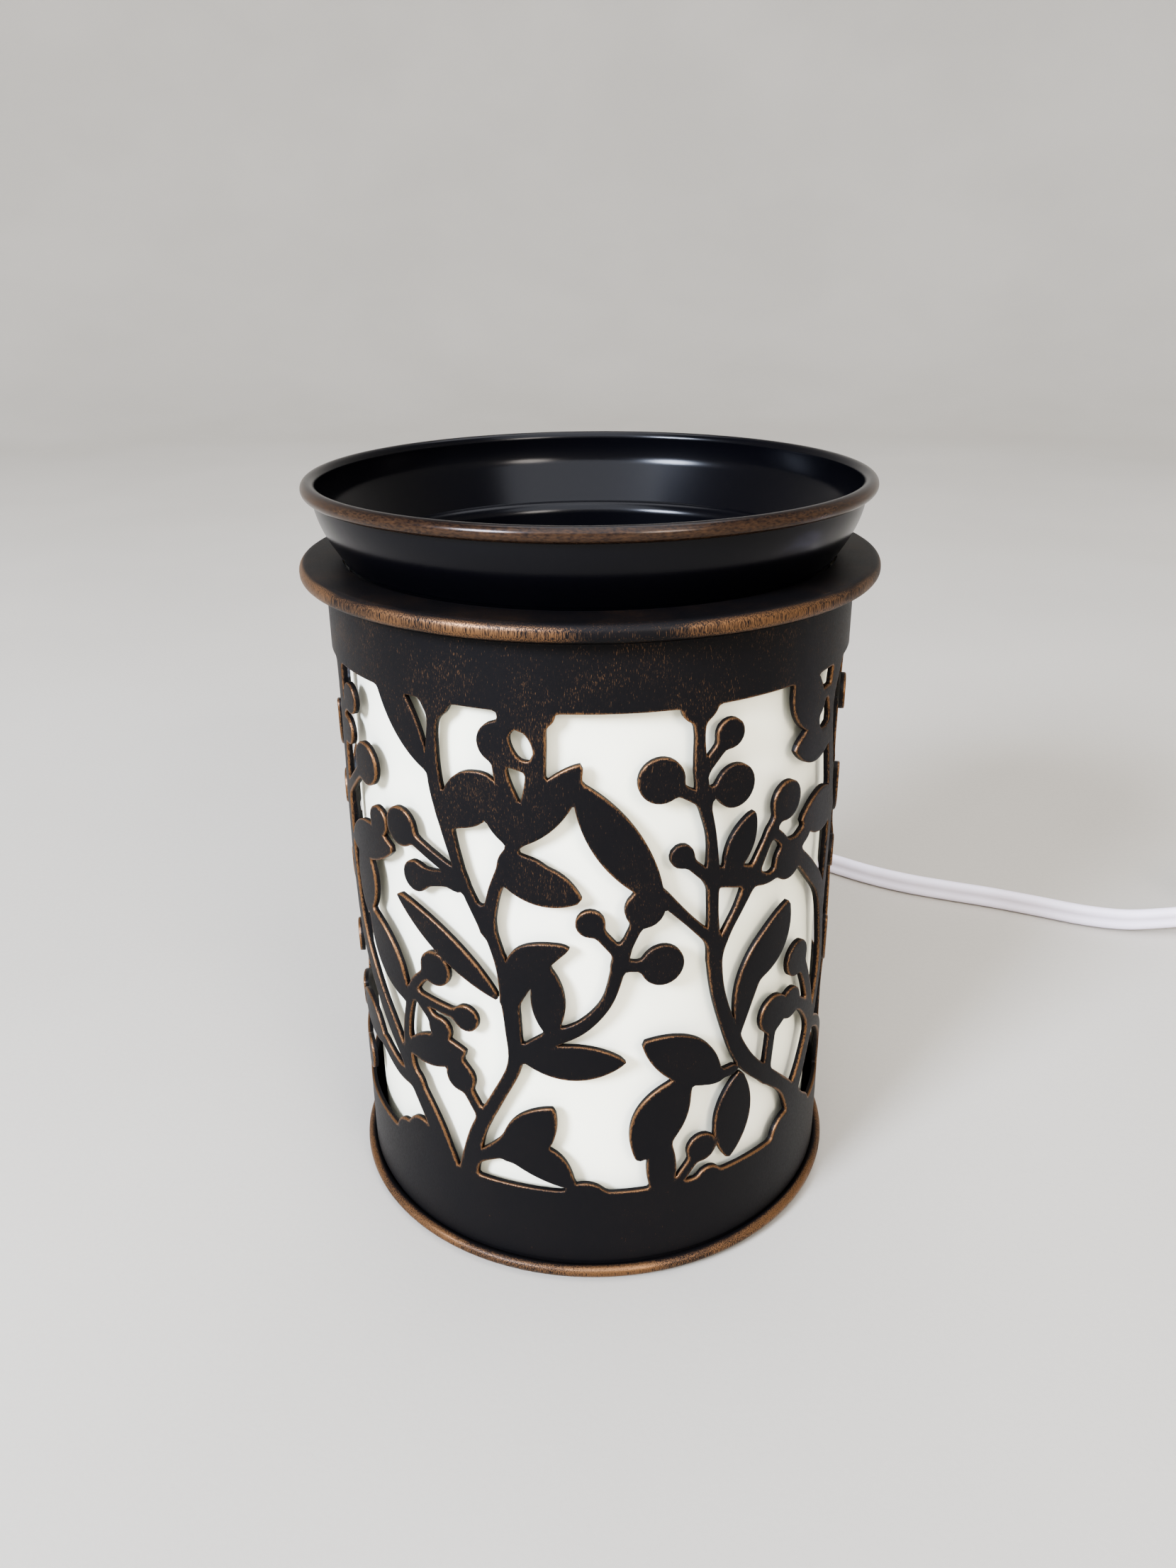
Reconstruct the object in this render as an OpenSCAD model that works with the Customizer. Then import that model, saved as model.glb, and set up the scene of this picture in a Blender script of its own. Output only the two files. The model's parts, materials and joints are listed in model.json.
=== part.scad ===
/* [Overall] */
// Height from the table to the rim of the dish
total_h = 150; // [130:1:190]
// Outer radius of the pierced sleeve
sleeve_r = 50.5; // [44:0.5:62]

/* [Sleeve] */
// Thickness of the sleeve's sheet
sleeve_t = 1.1; // [0.8:0.1:2]
// Height of the plain band at the bottom
lower_band_h = 16.8; // [12:0.2:30]
// Height of the plain band at the top
upper_band_h = 15.4; // [8:0.2:30]
// How full the leaves are, where 1 is slim and 0.5 is round
leaf_fullness = 0.85; // [0.5:0.05:1.2]
// Width of the stalks that carry the berries
stalk_w = 2.2; // [1.6:0.1:3]

/* [Flange] */
// Thickness of the flange's sheet
flange_t = 1; // [0.8:0.1:2]
// How far the flange's rolled edge stands out past the sleeve
flange_out = 4.7; // [2:0.1:9]
// Height of the flange's rolled edge
flange_edge_h = 3.4; // [2:0.1:6]
// Width of the flange's rolled edge
flange_edge_w = 2; // [1.4:0.1:4]

/* [Dish] */
// Thickness of the dish's sheet
dish_t = 0.9; // [0.6:0.1:1.6]
// How far the rim stands above the flange
dish_rise = 14.6; // [9:0.2:25]
// Outer radius of the well, where it passes the flange
well_r = 45.6; // [38:0.2:56]
// Depth of the well below the flange
well_drop = 13.4; // [6:0.2:20]
// How far the well's wall leans in at the floor
well_lean = 1.4; // [0.4:0.1:4]
// Radius of the corner round the well's floor
well_corner = 3.6; // [1.5:0.1:8]
// How far the shoulder spreads past the well
shoulder_out = 4.1; // [2:0.1:7]
// Height of the shoulder above the flange
shoulder_rise = 4.6; // [3:0.1:8]
// Radius of the rolled rim
rim_bead_r = 1.4; // [0.9:0.1:2.2]
// How far the rim's middle stands out past the shoulder
rim_out = 2.6; // [1.6:0.1:5]

/* [Diffuser] */
// Thickness of the diffuser's wall
diffuser_t = 1.5; // [1:0.1:3]
// Gap between the diffuser and the sleeve
diffuser_gap = 1.9; // [1.6:0.1:4]

/* [Base] */
// Thickness of the pan's sheet
pan_t = 1; // [0.8:0.1:2]
// Height of the feet
foot_h = 1.75; // [1.5:0.05:6]
// Radius of a foot
foot_r = 5; // [3:0.2:8]
// How far in from the sleeve's face the feet sit
foot_in = 7.5; // [6:0.5:14]
// Radius of the rolled bead round the pan
pan_bead_r = 1.25; // [0.9:0.05:2]
// How far the bead stands out past the sleeve
pan_bead_out = 1.9; // [1:0.1:4]
// Height of the step that carries the sleeve
pan_step_h = 1.45; // [1:0.05:3]
// Height of the pan's inner wall
pan_wall_h = 4.2; // [2.5:0.1:5]
// Number of air holes in the pan
vent_count = 8; // [4:1:12]
// Radius of an air hole
vent_r = 3; // [1.5:0.1:4]

/* [Lamp] */
// Thickness of the bracket's sheet
bracket_t = 1.5; // [1:0.1:2.5]
// Length of the bracket's top plate
bracket_l = 40; // [36:1:52]
// Width of the bracket
bracket_w = 20; // [14:0.5:30]
// Height of the bracket's top face
bracket_h = 28; // [20:1:36]
// Length of a bracket foot
bracket_foot = 12; // [9:0.5:16]
// Radius of the lamp holder
holder_r = 16.5; // [14:0.5:19]
// Height of the lamp holder
holder_h = 21.7; // [18:0.1:28]
// Radius of the pins' circle
pin_ring_r = 5; // [4.5:0.1:5.5]
// Turn between the slots' entry and the locked place
lock_deg = 45; // [25:5:60]
// Length of the bulb from its base to its lens
bulb_h = 50.5; // [44:0.5:62]
// Radius of the bulb's lens end
bulb_r = 25; // [20:0.5:28]

/* [Cord] */
// Height of the flat cord on edge
cord_w = 6.4; // [5:0.1:8]
// Thickness of the flat cord
cord_t = 3.3; // [2.4:0.1:4]
// Height of the cord's exit
exit_z = 12.5; // [11:0.5:14]
// Length of the strain relief outside the sleeve
relief_l = 24; // [14:1:34]

/* [Coil] */
// Radius of the outermost turn
coil_r = 41; // [36:0.5:60]
// Turns in each layer
coil_turns = 3.25; // [1.25:1:4.25]
// Distance between neighbouring turns
coil_pitch = 4.2; // [3.8:0.1:6]
// Gap between the layers
coil_layer_gap = 0.8; // [0.5:0.1:3]
// Width of a tie band
tie_w = 5; // [3:0.5:9]
// Thickness of a tie band
tie_t = 0.65; // [0.4:0.05:1.2]

/* [Switch and plug] */
// Length of the switch
switch_l = 54; // [46:1:70]
// Thickness of the switch
switch_t = 14; // [12:0.5:20]
// Height of the switch, on edge
switch_h = 20; // [18:0.5:28]
// Radius of the switch's wheel
wheel_r = 8.5; // [7:0.1:8.8]
// Length of the plug's body
plug_l = 34; // [26:1:44]
// Thickness of the plug's body
plug_t = 14; // [11:0.5:20]
// Height of the plug's body, on edge
plug_h = 22.4; // [20:0.2:28]

/* [Hidden] */
$fn = 96;

black = "#211d1c";
steel = "#b9bcc0";
white = "#ecebe4";
over = 1;

// Levels, from the table up
pan_low = foot_h;
pan_floor = pan_low + pan_t;
sleeve_low = pan_floor + pan_step_h;
flange_top = total_h - dish_rise;
sleeve_top = flange_top - flange_t;
band_low = sleeve_low + lower_band_h;
band_high = sleeve_top - upper_band_h;

// The dish seats on the rim of the flange's hole
seat_gap = 0.34;
seat_slope = 1.5;
well_top = flange_top - 1.4;
seat_r = well_r + 0.8;
seat_z = flange_top - 0.4;
flange_hole_r = seat_r + (flange_top - seat_z) / seat_slope + seat_gap;
shoulder_r = well_r + shoulder_out;
shoulder_z = flange_top + shoulder_rise;
rim_r = shoulder_r + rim_out;
rim_z = total_h - rim_bead_r;
well_floor = flange_top - well_drop;

// Rings inside the sleeve
diffuser_r = sleeve_r - sleeve_t - diffuser_gap;
diffuser_top = sleeve_top - 1;
pan_wall_out = sleeve_r - sleeve_t - 0.1;
pan_wall_in = diffuser_r + 0.7;
pan_bead_ring = sleeve_r + pan_bead_out - pan_bead_r;
foot_ring = sleeve_r - foot_in;
vent_ring = foot_ring - foot_r;

// Lamp stack
bracket_x = bracket_l / 2;
bracket_screw_x = bracket_x + 0.6 * bracket_foot;
screw_r = 1.5;
screw_gap = 0.15;
nut_h = 2.4;
nut_r = 3.1;
head_h = 1.3;
head_r = 3;
holder_low = bracket_h;
holder_top = holder_low + holder_h;
slot_plate = 3;
holder_floor = holder_low + 8;
cavity_r = pin_ring_r + 3.8;
holder_screw_ring = 11.3;
holder_screw_drop = 5.7;
pin_r = 1.3;
pin_head_r = 2.5;
pin_head_h = 2.5;
pin_gap = 0.5;
bulb_low = holder_top + 0.4;
bulb_neck_h = 14;
bulb_neck_r = 9.4;
bulb_top = bulb_low + bulb_h;
pin_head_top = holder_top - slot_plate - 1;
pin_head_low = pin_head_top - pin_head_h;
contact_t = 0.5;
contact_top = pin_head_low - 0.35;
lens_t = 2.2;
glass_t = 1.4;
wire_r = 1;
wire_x = 3;

// Cord: the points are chosen by hand, and it lies on edge all the way
cord_on_floor = cord_w / 2 + 0.1;
relief_y = sleeve_r + relief_l;
cord_start = diffuser_r - diffuser_t - 3;
switch_x = 190;
switch_y = 84;
switch_end = switch_x + switch_l;
switch_axis_z = 6.2;
switch_pocket = 13;
RUN_ROUTE = [
  [0, cord_start, exit_z], [0, sleeve_r, exit_z], [0, 68, exit_z], [0, 76, exit_z], [0, 84, 12.2],
  [0.6, 92, 11.2], [3, 104, 9.2], [8, 115, 7], [15, 124.4, 5.2], [24, 131.6, 4], [34, 136, 3.5],
  [45, 137.4, 3.3], [56, 135.6, 3.3], [67, 130.6, 3.3], [77, 123.6, 3.3], [87, 116, 3.3],
  [98, 109.6, 3.3], [110, 104.6, 3.3], [122, 100, 3.3], [134, 94.6, 3.3], [146, 88.8, 3.4],
  [157, 85.2, 3.8], [168, 84.2, 4.8], [178, 84, 5.9],
  [switch_x - 6, switch_y, switch_axis_z], [switch_x, switch_y, switch_axis_z],
  [switch_x + switch_pocket - 0.5, switch_y, switch_axis_z]
];
coil_x = 282;
coil_y = switch_y - coil_r;
lead_in = 8;
layer_low = tie_t + 0.15 + 0.15 + cord_w / 2;
layer_high = layer_low + cord_w + coil_layer_gap;
LINK_ROUTE = [
  [switch_end - switch_pocket + 0.5, switch_y, switch_axis_z], [switch_end, switch_y, switch_axis_z],
  [switch_end + 7, switch_y, switch_axis_z - 0.4], [switch_end + 14, switch_y, layer_low + 0.9],
  [switch_end + 20, switch_y, layer_low], [coil_x - lead_in - 5, switch_y, layer_low],
  [coil_x - lead_in, switch_y, layer_low]
];
plug_x = 240;
plug_y = coil_y - coil_r;
plug_depth = 10;
TAIL_ROUTE = [
  [coil_x - lead_in, plug_y, layer_high], [coil_x - 16, plug_y, layer_high],
  [coil_x - 24, plug_y, layer_high], [coil_x - 33, plug_y, layer_high],
  [plug_x, plug_y, layer_high], [plug_x - plug_depth, plug_y, layer_high]
];
cord_gap = 0.25;
relief_neck_r = 4.9;

// Switch and plug details
case_low = 0.1;
wheel_w = 4.4;
wheel_z = case_low + switch_h + 2.4 - wheel_r;
axle_r = 1.5;
axle_l = 9.6;
wheel_gap = 0.08;
case_screw_r = 1.3;
case_screw_in = 4.5;
case_screw_x = switch_x + switch_l - 12;
blade_l = 17;
blade_in = 6;
blade_w = 6.35;
blade_t = 1.5;
blade_gap = 12.7;

// Coil: in along the lower layer, up over half a turn where it dips inside the rest,
// and out along the upper layer
loop_rings = 24;
coil_rings = round(2 * coil_turns * loop_rings);
climb_half = 0.25;
dip = 3;
dip_half = 0.6;
function eased(t) = let (c = max(0, min(1, t))) c * c * (3 - 2 * c);
function dip_at(turn) = let (s = (turn - coil_turns) / dip_half) abs(s) < 1 ? dip * pow(cos(90 * s), 2) : 0;
function coil_radius(turn) = coil_r - coil_pitch * min(turn, 2 * coil_turns - turn) - dip_at(turn);
function coil_height(turn) =
  layer_low + (layer_high - layer_low) * eased((turn - coil_turns + climb_half) / (2 * climb_half));
function coil_point(turn) = let (r = coil_radius(turn), a = 90 - 360 * turn)
  [coil_x + r * cos(a), coil_y + r * sin(a), coil_height(turn)];
COIL_ROUTE = concat(
  [[coil_x - lead_in, switch_y, layer_low]],
  [for (i = [0:coil_rings]) coil_point(i / loop_rings)],
  [[coil_x - lead_in, plug_y, layer_high]]
);
coil_gaps = [for (i = [0:coil_rings], j = [i + loop_rings:loop_rings:coil_rings])
  let (a = i / loop_rings, b = j / loop_rings) max(
    abs(coil_radius(a) - coil_radius(b)) - cord_t,
    abs(coil_height(a) - coil_height(b)) - cord_w
  )];
echo(least_gap_of_the_coil_to_itself = min(coil_gaps));  // cord_coil

// Sections of the flat cord: across its thickness, then up its height
HEX = let (t = cord_t / 2, w = cord_w / 2, s = w - 0.7 * t)
  [[t, s], [0, w], [-t, s], [-t, -s], [0, -w], [t, -s]];
OCT = let (t = cord_t / 2, w = cord_w / 2, s = w - 0.6 * t)
  [[t, s], [t / 2, w], [-t / 2, w], [-t, s], [-t, -s], [-t / 2, -w], [t / 2, -w], [t, -s]];

function lerp(a, b, t) = a + (b - a) * t;
function spline(p0, p1, p2, p3, t) = p1 + t * (p2 - p0) / 2 + t * t * (p0 - 2.5 * p1 + 2 * p2 - p3 / 2)
  + t * t * t * (1.5 * (p1 - p2) + (p3 - p0) / 2);
function smooth(p, steps) = let (n = len(p) - 1) concat(
  [for (i = [0:n - 1], s = [0:steps - 1])
    spline(p[max(i - 1, 0)], p[i], p[i + 1], p[min(i + 2, n)], s / steps)],
  [p[n]]
);
function reversed(p) = [for (i = [len(p) - 1:-1:0]) p[i]];

// A corner list with each inner corner swapped for an arc of its radius, given as [x, y, radius]
function corner(a, b, c, r) = let (
  u = (a - b) / norm(a - b), v = (c - b) / norm(c - b), half = acos(u * v) / 2,
  m = b + (u + v) / norm(u + v) * r / sin(half),
  from = b + u * r / tan(half) - m, to = b + v * r / tan(half) - m,
  sweep = 180 - 2 * half, turn = sign(from[0] * to[1] - from[1] * to[0]))
  [for (k = [0:4]) let (w = turn * sweep * k / 4)
    m + [from[0] * cos(w) - from[1] * sin(w), from[0] * sin(w) + from[1] * cos(w)]];
function arced(p) = let (n = len(p) - 1, q = [for (c = p) [c[0], c[1]]])
  [for (i = [0:n]) each (i == 0 || i == n || p[i][2] == 0)
    ? [q[i]]
    : corner(q[i - 1], q[i], q[i + 1], p[i][2])];

// The other face of a sheet that follows an open line, to the left of it
function left_of(d) = [-d[1], d[0]] / norm(d);
function moved(p, t) = let (n = len(p) - 1) [for (i = [0:n]) let (
  a = left_of(p[max(i, 1)] - p[max(i, 1) - 1]), b = left_of(p[min(i, n - 1) + 1] - p[min(i, n - 1)]))
  p[i] + (a + b) * t / (1 + a * b)];
function sheet(p, t) = concat(p, reversed(moved(p, t)));

// A rectangle with rounded corners
function soft_box(x0, y0, x1, y1, r) = [
  for (c = [[x1 - r, y1 - r, 0], [x0 + r, y1 - r, 90], [x0 + r, y0 + r, 180], [x1 - r, y0 + r, 270]])
    for (w = [c[2]:22.5:c[2] + 90]) [c[0] + r * cos(w), c[1] + r * sin(w)]
];

module lathe(outline) {
  rotate_extrude($fn = 180) polygon(outline);
}

module ring(r, bead, z) {
  translate([0, 0, z]) rotate_extrude($fn = 180) translate([r, 0]) circle(bead, $fn = 32);
}

module tube(r, t, z0, z1) {
  translate([0, 0, z0]) difference() {
    cylinder(r = r, h = z1 - z0, $fn = 180);
    translate([0, 0, -over]) cylinder(r = r - t, h = z1 - z0 + 2 * over, $fn = 180);
  }
}

// A section swept along a route; its second axis keeps to the side of the given direction
module strand(route, section, upright) {
  n = len(route) - 1;
  s = len(section);
  points = [for (i = [0:n]) let (
    d = route[min(i + 1, n)] - route[max(i - 1, 0)],
    a = cross(upright, d) / norm(cross(upright, d)),
    b = cross(d, a) / norm(cross(d, a))
  ) for (c = section) route[i] + a * c[0] + b * c[1]];
  sides = [for (i = [0:n - 1], k = [0:s - 1]) let (a = i * s + k, b = i * s + (k + 1) % s)
    each [[a, a + s, b], [b, a + s, b + s]]];
  caps = [for (k = [1:s - 2]) each [[0, k, k + 1], [n * s, n * s + k + 1, n * s + k]]];
  polyhedron(points = points, faces = concat(sides, caps), convexity = 10);
}

module flat_cord(route, section) {
  strand(route, section, [0, 0, 1]);
}

// The channel that a flat cord sits in, along X
module cord_channel(length, gap) {
  rotate([90, 0, 90]) linear_extrude(length) {
    square([cord_t + 2 * gap, cord_w - cord_t], center = true);
    for (s = [-1, 1]) translate([0, s * (cord_w - cord_t) / 2]) circle(cord_t / 2 + gap, $fn = 32);
  }
}

// Foliage of the sleeve. It is drawn flat, as degrees round from the front and millimetres above the
// lower band on a drawing drawn_h high for a sleeve of radius drawn_r, and it repeats round the sleeve.
// A stem is [degrees, height, width] from point to point
drawn_h = 98;
drawn_r = 50.5;
repeats = 2;
period = 360 / repeats;
leaf_steps = 3;
round_sides = 8;
crack = 0.5;
sliver = 0.45;
bay_reach = 55;
STEMS = [
  [[84, -3, 4], [88, 15, 2.6], [84, 35, 2.6], [88, 55, 2.6], [92, 75, 2.6], [90, 100, 4]],
  [[21, 25, 2.6], [16, 12, 2.6]],
  [
    [-30, -3, 4.6], [-26.4, 10, 3.4], [-21.4, 19, 2.8], [-16.6, 28, 2.8], [-16.6, 36, 3.2],
    [-17.2, 42, 3.4], [-18.6, 49, 2.4], [-20.6, 55, 2.4], [-22.2, 59.5, 2.8]
  ],
  [
    [-21.6, 56, 2.4], [-26.2, 64, 2], [-28.4, 70, 2.2], [-30.2, 76, 2.8], [-32.2, 83, 2.8],
    [-32.4, 90, 2.2], [-31.8, 95, 2.4], [-31, 99, 7]
  ],
  [
    [-21.4, 56, 2.4], [-19.6, 64, 2.4], [-15.2, 73.5, 2.4], [-11.4, 83, 2.8], [-10.2, 91, 2.6],
    [-11, 95, 6], [-11.2, 99, 9.5]
  ],
  [[-17.6, 92, 2.4], [-17.2, 86.5, 2.6], [-15, 81, 3]],
  [[-16.6, 89.6, 1.4], [-13.4, 88.8, 1], [-10.4, 88.6, 1.4]],
  [[-15.4, 30.5, 3], [-9, 34.6, 3.2], [-2, 37.8, 2.6], [3.2, 43, 2.2], [5.6, 50, 2.6], [6.4, 53.5, 2.6]],
  [[-28, 4.6, 2.6], [-23, 6.8, 2.6], [-17, 8.4, 4]],
  [
    [-33.5, -3, 4], [-38, 7, 4.4], [-43.6, 15, 4], [-48.2, 20.8, 3.2], [-53, 26.4, 3.8], [-59, 33.4, 3.6],
    [-66, 43, 3.4], [-69, 55, 3.2], [-69, 67, 3], [-67.6, 79, 2.8], [-66.6, 89, 2.8], [-66.4, 100, 4]
  ],
  [[-46, 19, 3], [-46, 26.5, 2.2], [-44.6, 33, 2], [-42, 39, 2.4], [-38.5, 42.4, 2.2], [-35.5, 44.6, 2.6]],
  [[-44, 16, 4], [-50, 16, 3.2], [-57, 19, 3]],
  [
    [58, 1, 8], [51, 10.6, 3.6], [44, 16.6, 3.4], [38, 21.6, 3.6], [34, 26.6, 3.6], [30.4, 34, 3],
    [27.6, 42, 2.8], [26.4, 50, 3], [25.8, 58, 2.2], [25.4, 67, 2.4], [24.8, 74, 1.9], [23, 80.5, 2.4],
    [22, 87, 2.4], [21.6, 93, 2], [21.7, 99, 7.5]
  ],
  [[26.6, 49, 2.4], [29.4, 54.2, 1.9], [32, 58, 2], [35, 63, 2.8], [39.6, 70.4, 2.2], [44.7, 76.2, 2.6]],
  [[26, 65.6, 3.6], [33.4, 64.2, 4.2], [40, 62, 2], [46.4, 64, 2.6]],
  [[40.4, 71.2, 2.2], [44, 68.6, 2], [46.4, 64.6, 2.4]],
  [[46, 65, 3], [52, 67.4, 3.6]],
  [[26.4, 52.4, 2.4], [20.4, 58, 2], [14.6, 63.6, 2.6]],
  [[32.4, 23.4, 2.2], [27, 24, 2.2]],
  [[15.4, -3, 5], [14.2, 5, 5.2], [15.6, 12, 3]],
  [[54.5, 7, 4.6], [59.6, 15, 3.6], [62, 21.4, 3.6], [57, 27.6, 2.8], [50.8, 31, 2.6]],
  [[62, 22, 3], [59.6, 29.6, 2.8], [56, 36.6, 2.8], [52.6, 40.6, 3]],
  [[62, 21, 3], [70, 17, 2.6], [78, 9, 2.6], [84, -3, 4]],
  [[50, 63.6, 3], [56, 58.4, 3.6], [62.4, 52, 3.4], [65.4, 43, 2.6], [67, 33, 2.6], [64, 23, 3]],
  [
    [65, 100, 6], [61.4, 92.4, 3.2], [61.8, 86, 2.6], [64.2, 77, 2.8], [66.6, 67, 2.6], [66, 57, 2.6],
    [65, 47, 2.6]
  ]
];
// A leaf is its base, its tip, its width and its bow to the left
LEAVES = [
  [85, 25, 76, 39, 7.6, 0], [86, 41, 98, 53, 7.6, 0], [89, 59, 78, 73, 7.6, 0], [92, 75, 103, 87, 7.6, 0],
  [87, 12, 101, 22, 8, 0], [-30.4, 76, -20, 85.8, 8, -1], [-15, 73, -19.6, 85.4, 6.6, 0],
  [-14.6, 73.5, -1.2, 89.4, 6.8, 0], [14.8, 62.4, -3, 86.4, 8.6, 0.4], [-18.4, 66.8, -1.4, 63.7, 7.6, 1],
  [-19, 41.6, -46.6, 58, 5.6, -0.9], [-15, 29.8, 7.4, 30, 7.6, 0], [-8.4, 35, -9.4, 51, 6.4, 0],
  [-15.4, 41, -3.8, 53.6, 5.4, 3.4], [-20, 6, -8.2, 20.6, 9, -0.2], [-44.8, 34, -59, 50, 8.6, 0],
  [-46.8, 23.2, -28, 28.4, 7.2, 0], [-68, 61.4, -46, 66.2, 8, 1], [-60.4, 47.6, -60, 64, 8.6, -0.6],
  [-57, 18.6, -73, 24, 7.4, -0.6], [-36, 86.6, -48, 100, 8, -1], [28.6, 64.6, 35.2, 76.8, 5.8, 0],
  [33.6, 30, 47.6, 54.8, 6, 3.6], [38.4, 41, 47.6, 55, 7.6, -0.2], [28.8, 23.2, 10.6, 34.8, 8.2, -0.8],
  [21.4, 25, 9.4, 7.4, 9.4, -0.8], [34.4, 22.6, 32, 3, 8.8, -0.2], [55.4, 87.4, 45.6, 100, 9.6, -0.2],
  [63, 84.6, 46.2, 85.4, 7.8, 0], [69, 67.6, 50.4, 70.6, 9.2, -0.8]
];
// A leaf-shaped hole where the metal is widest
SLITS = [[-14.9, 95, -10.4, 88.4, 3.6, 0]];
// A berry is its middle, its radius and the foot of its stalk
BERRIES = [
  [80, 53, 3.4, 88, 56], [97, 67, 3.6, 91, 70], [99, 33, 3.6, 84, 34], [82, 87, 3.6, 91, 84],
  [107, 8, 3.8, 88, 11], [-43, 71.9, 3.9, -28.5, 66], [-39.2, 63, 3.1, -28, 65], [-51.2, 70.6, 3, -52, 66],
  [-17.6, 92.3, 3.8, -16, 96], [0, 59.2, 2.7, 6.2, 52.5], [11, 61.6, 3.7, 6, 52],
  [14.8, 49.9, 4.1, 5.5, 50.5], [-30, 21.2, 3.2, -24.6, 13.5], [-35.4, 44.6, 3.6, -35.4, 44.6],
  [-27.8, 36, 2.8, -43.4, 37], [-35, 31.4, 2.7, -41, 36.5], [-8.4, 6.2, 4.4, -10, 10],
  [-48.6, -0.4, 4.4, -48.6, -1], [-43, 2.6, 4.6, -43, -1], [14, 85.6, 4.2, 23.4, 80.5],
  [28.4, 92.4, 2.8, 22.6, 86.4], [30, 82.5, 4.1, 23.4, 82], [18.5, 71, 2.3, 25.4, 65],
  [44.8, 76.2, 3.9, 44.8, 76], [46.4, 64, 4.1, 46.4, 64], [24.8, 7.2, 3.3, 20, 0], [27, -1, 2.8, 27, -1],
  [44.4, 31.2, 4.1, 42.6, 17], [50.8, 31, 3.4, 50.8, 31], [52.6, 40.4, 3.8, 52.6, 40],
  [-55, 80.9, 4.2, -69, 71], [-61, 92, 3, -67, 88], [-64, 85, 2.8, -67, 83], [-4, -1, 4.6, -4, -1],
  [51.6, -0.4, 4.8, 51.6, -1], [60, -1, 4.6, 60, -1]
];
// Lines of stems that reach from band to band, and part the windows into bays
function stretch(p, from, to) = [for (i = from <= to ? [from:to] : [from:-1:to]) p[i]];
VINE_A = concat(stretch(STEMS[2], 0, 7), stretch(STEMS[4], 1, 6));
VINE_B = STEMS[9];
VINE_C = STEMS[12];
VINE_D = concat(stretch(STEMS[22], 3, 1), stretch(STEMS[23], 5, 3), stretch(STEMS[24], 5, 0));
VINE_E = STEMS[0];
VINE_F = concat([STEMS[19][0]], stretch(STEMS[1], 1, 0), stretch(STEMS[18], 1, 0), [VINE_C[4]]);
BAYS = [
  [VINE_B, VINE_A],
  [VINE_A, concat(VINE_F, stretch(VINE_C, 5, 14))],
  [VINE_F, stretch(VINE_C, 0, 4)],
  [VINE_C, VINE_D],
  [VINE_D, VINE_E],
  [VINE_E, [for (p = VINE_B) p + [period, 0, 0]]]
];
arc = PI * drawn_r / 180;
function flat(p) = [p[0] * arc, p[1]];
function across(a, b) = left_of(b - a);
function ribbon(a, b, wa, wb) = let (s = across(a, b) / 2)
  [a + s * wa, b + s * wb, b - s * wb, a - s * wa];
function disc(c, r) = [for (i = [0:round_sides - 1]) let (w = 360 * i / round_sides)
  c + r * [cos(w), sin(w)]];
function hump(t) = 4 * t * (1 - t);
function leaf_edge(s, t, k) = let (a = flat(s), b = flat([s[2], s[3]]))
  lerp(a, b, t) + across(a, b) * (s[5] * hump(t) + k * s[4] / 2 * pow(hump(t), leaf_fullness));
function leaf(s) = concat(
  [for (i = [0:leaf_steps]) leaf_edge(s, i / leaf_steps, 1)],
  [for (i = [leaf_steps - 1:-1:1]) leaf_edge(s, i / leaf_steps, -1)]
);
METAL = concat(
  [for (s = STEMS, i = [1:len(s) - 1]) ribbon(flat(s[i - 1]), flat(s[i]), s[i - 1][2], s[i][2])],
  [for (s = STEMS, p = s) disc(flat(p), p[2] / 2)],
  [for (s = LEAVES) leaf(s)],
  [for (s = BERRIES) disc(flat(s), s[2])],
  [for (s = BERRIES) if (s[3] != s[0]) ribbon(flat([s[3], s[4]]), flat(s), stalk_w, stalk_w)]
);
function bay_line(b) = [for (p = concat(b[0], reversed(b[1]))) flat(p)];
function middle(line) = let (x = [for (p = line) p[0]]) (min(x) + max(x)) / 2 / arc;
function half_width(line) = let (x = [for (p = line) p[0]]) (max(x) - min(x)) / 2 / arc;
function facing(line, a) = [for (p = line)
  [sleeve_r * sin(p[0] / arc - a), band_low + p[1] * (band_high - band_low) / drawn_h]];

// The windows of one bay, seen straight on from the direction a
module windows(bay, a) {
  offset(delta = sliver) offset(delta = -sliver) difference() {
    intersection() {
      polygon(facing(bay_line(bay), a));
      translate([-sleeve_r, band_low]) square([2 * sleeve_r, band_high - band_low]);
    }
    offset(delta = -crack) offset(delta = crack) difference() {
      for (s = METAL, turn = [-period, 0, period])
        if (abs(middle(s) + turn - a) < bay_reach) polygon(facing([for (p = s) p + [turn * arc, 0]], a));
      for (s = SLITS) if (abs(middle(leaf(s)) - a) < bay_reach) polygon(facing(leaf(s), a));
    }
  }
}

module wax_dish() {
  line = arced([
    [rim_r - 0.4, rim_z, 0], [shoulder_r + 1.2, shoulder_z + 4.2, 3], [shoulder_r, shoulder_z, 1],
    [seat_r, seat_z, 0], [well_r, well_top, 0], [well_r - well_lean, well_floor, well_corner],
    [0, well_floor, 0]
  ]);
  color(black) {
    lathe(sheet(line, -dish_t));
    ring(rim_r, rim_bead_r, rim_z);
  }
}

module top_flange() {
  r = sleeve_r + flange_out;
  color(black) {
    tube(r - flange_edge_w + 0.5, r - flange_edge_w + 0.5 - flange_hole_r, flange_top - flange_t, flange_top);
    lathe(soft_box(r - flange_edge_w, flange_top - flange_edge_h, r, flange_top, 0.95));
  }
}

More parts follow.
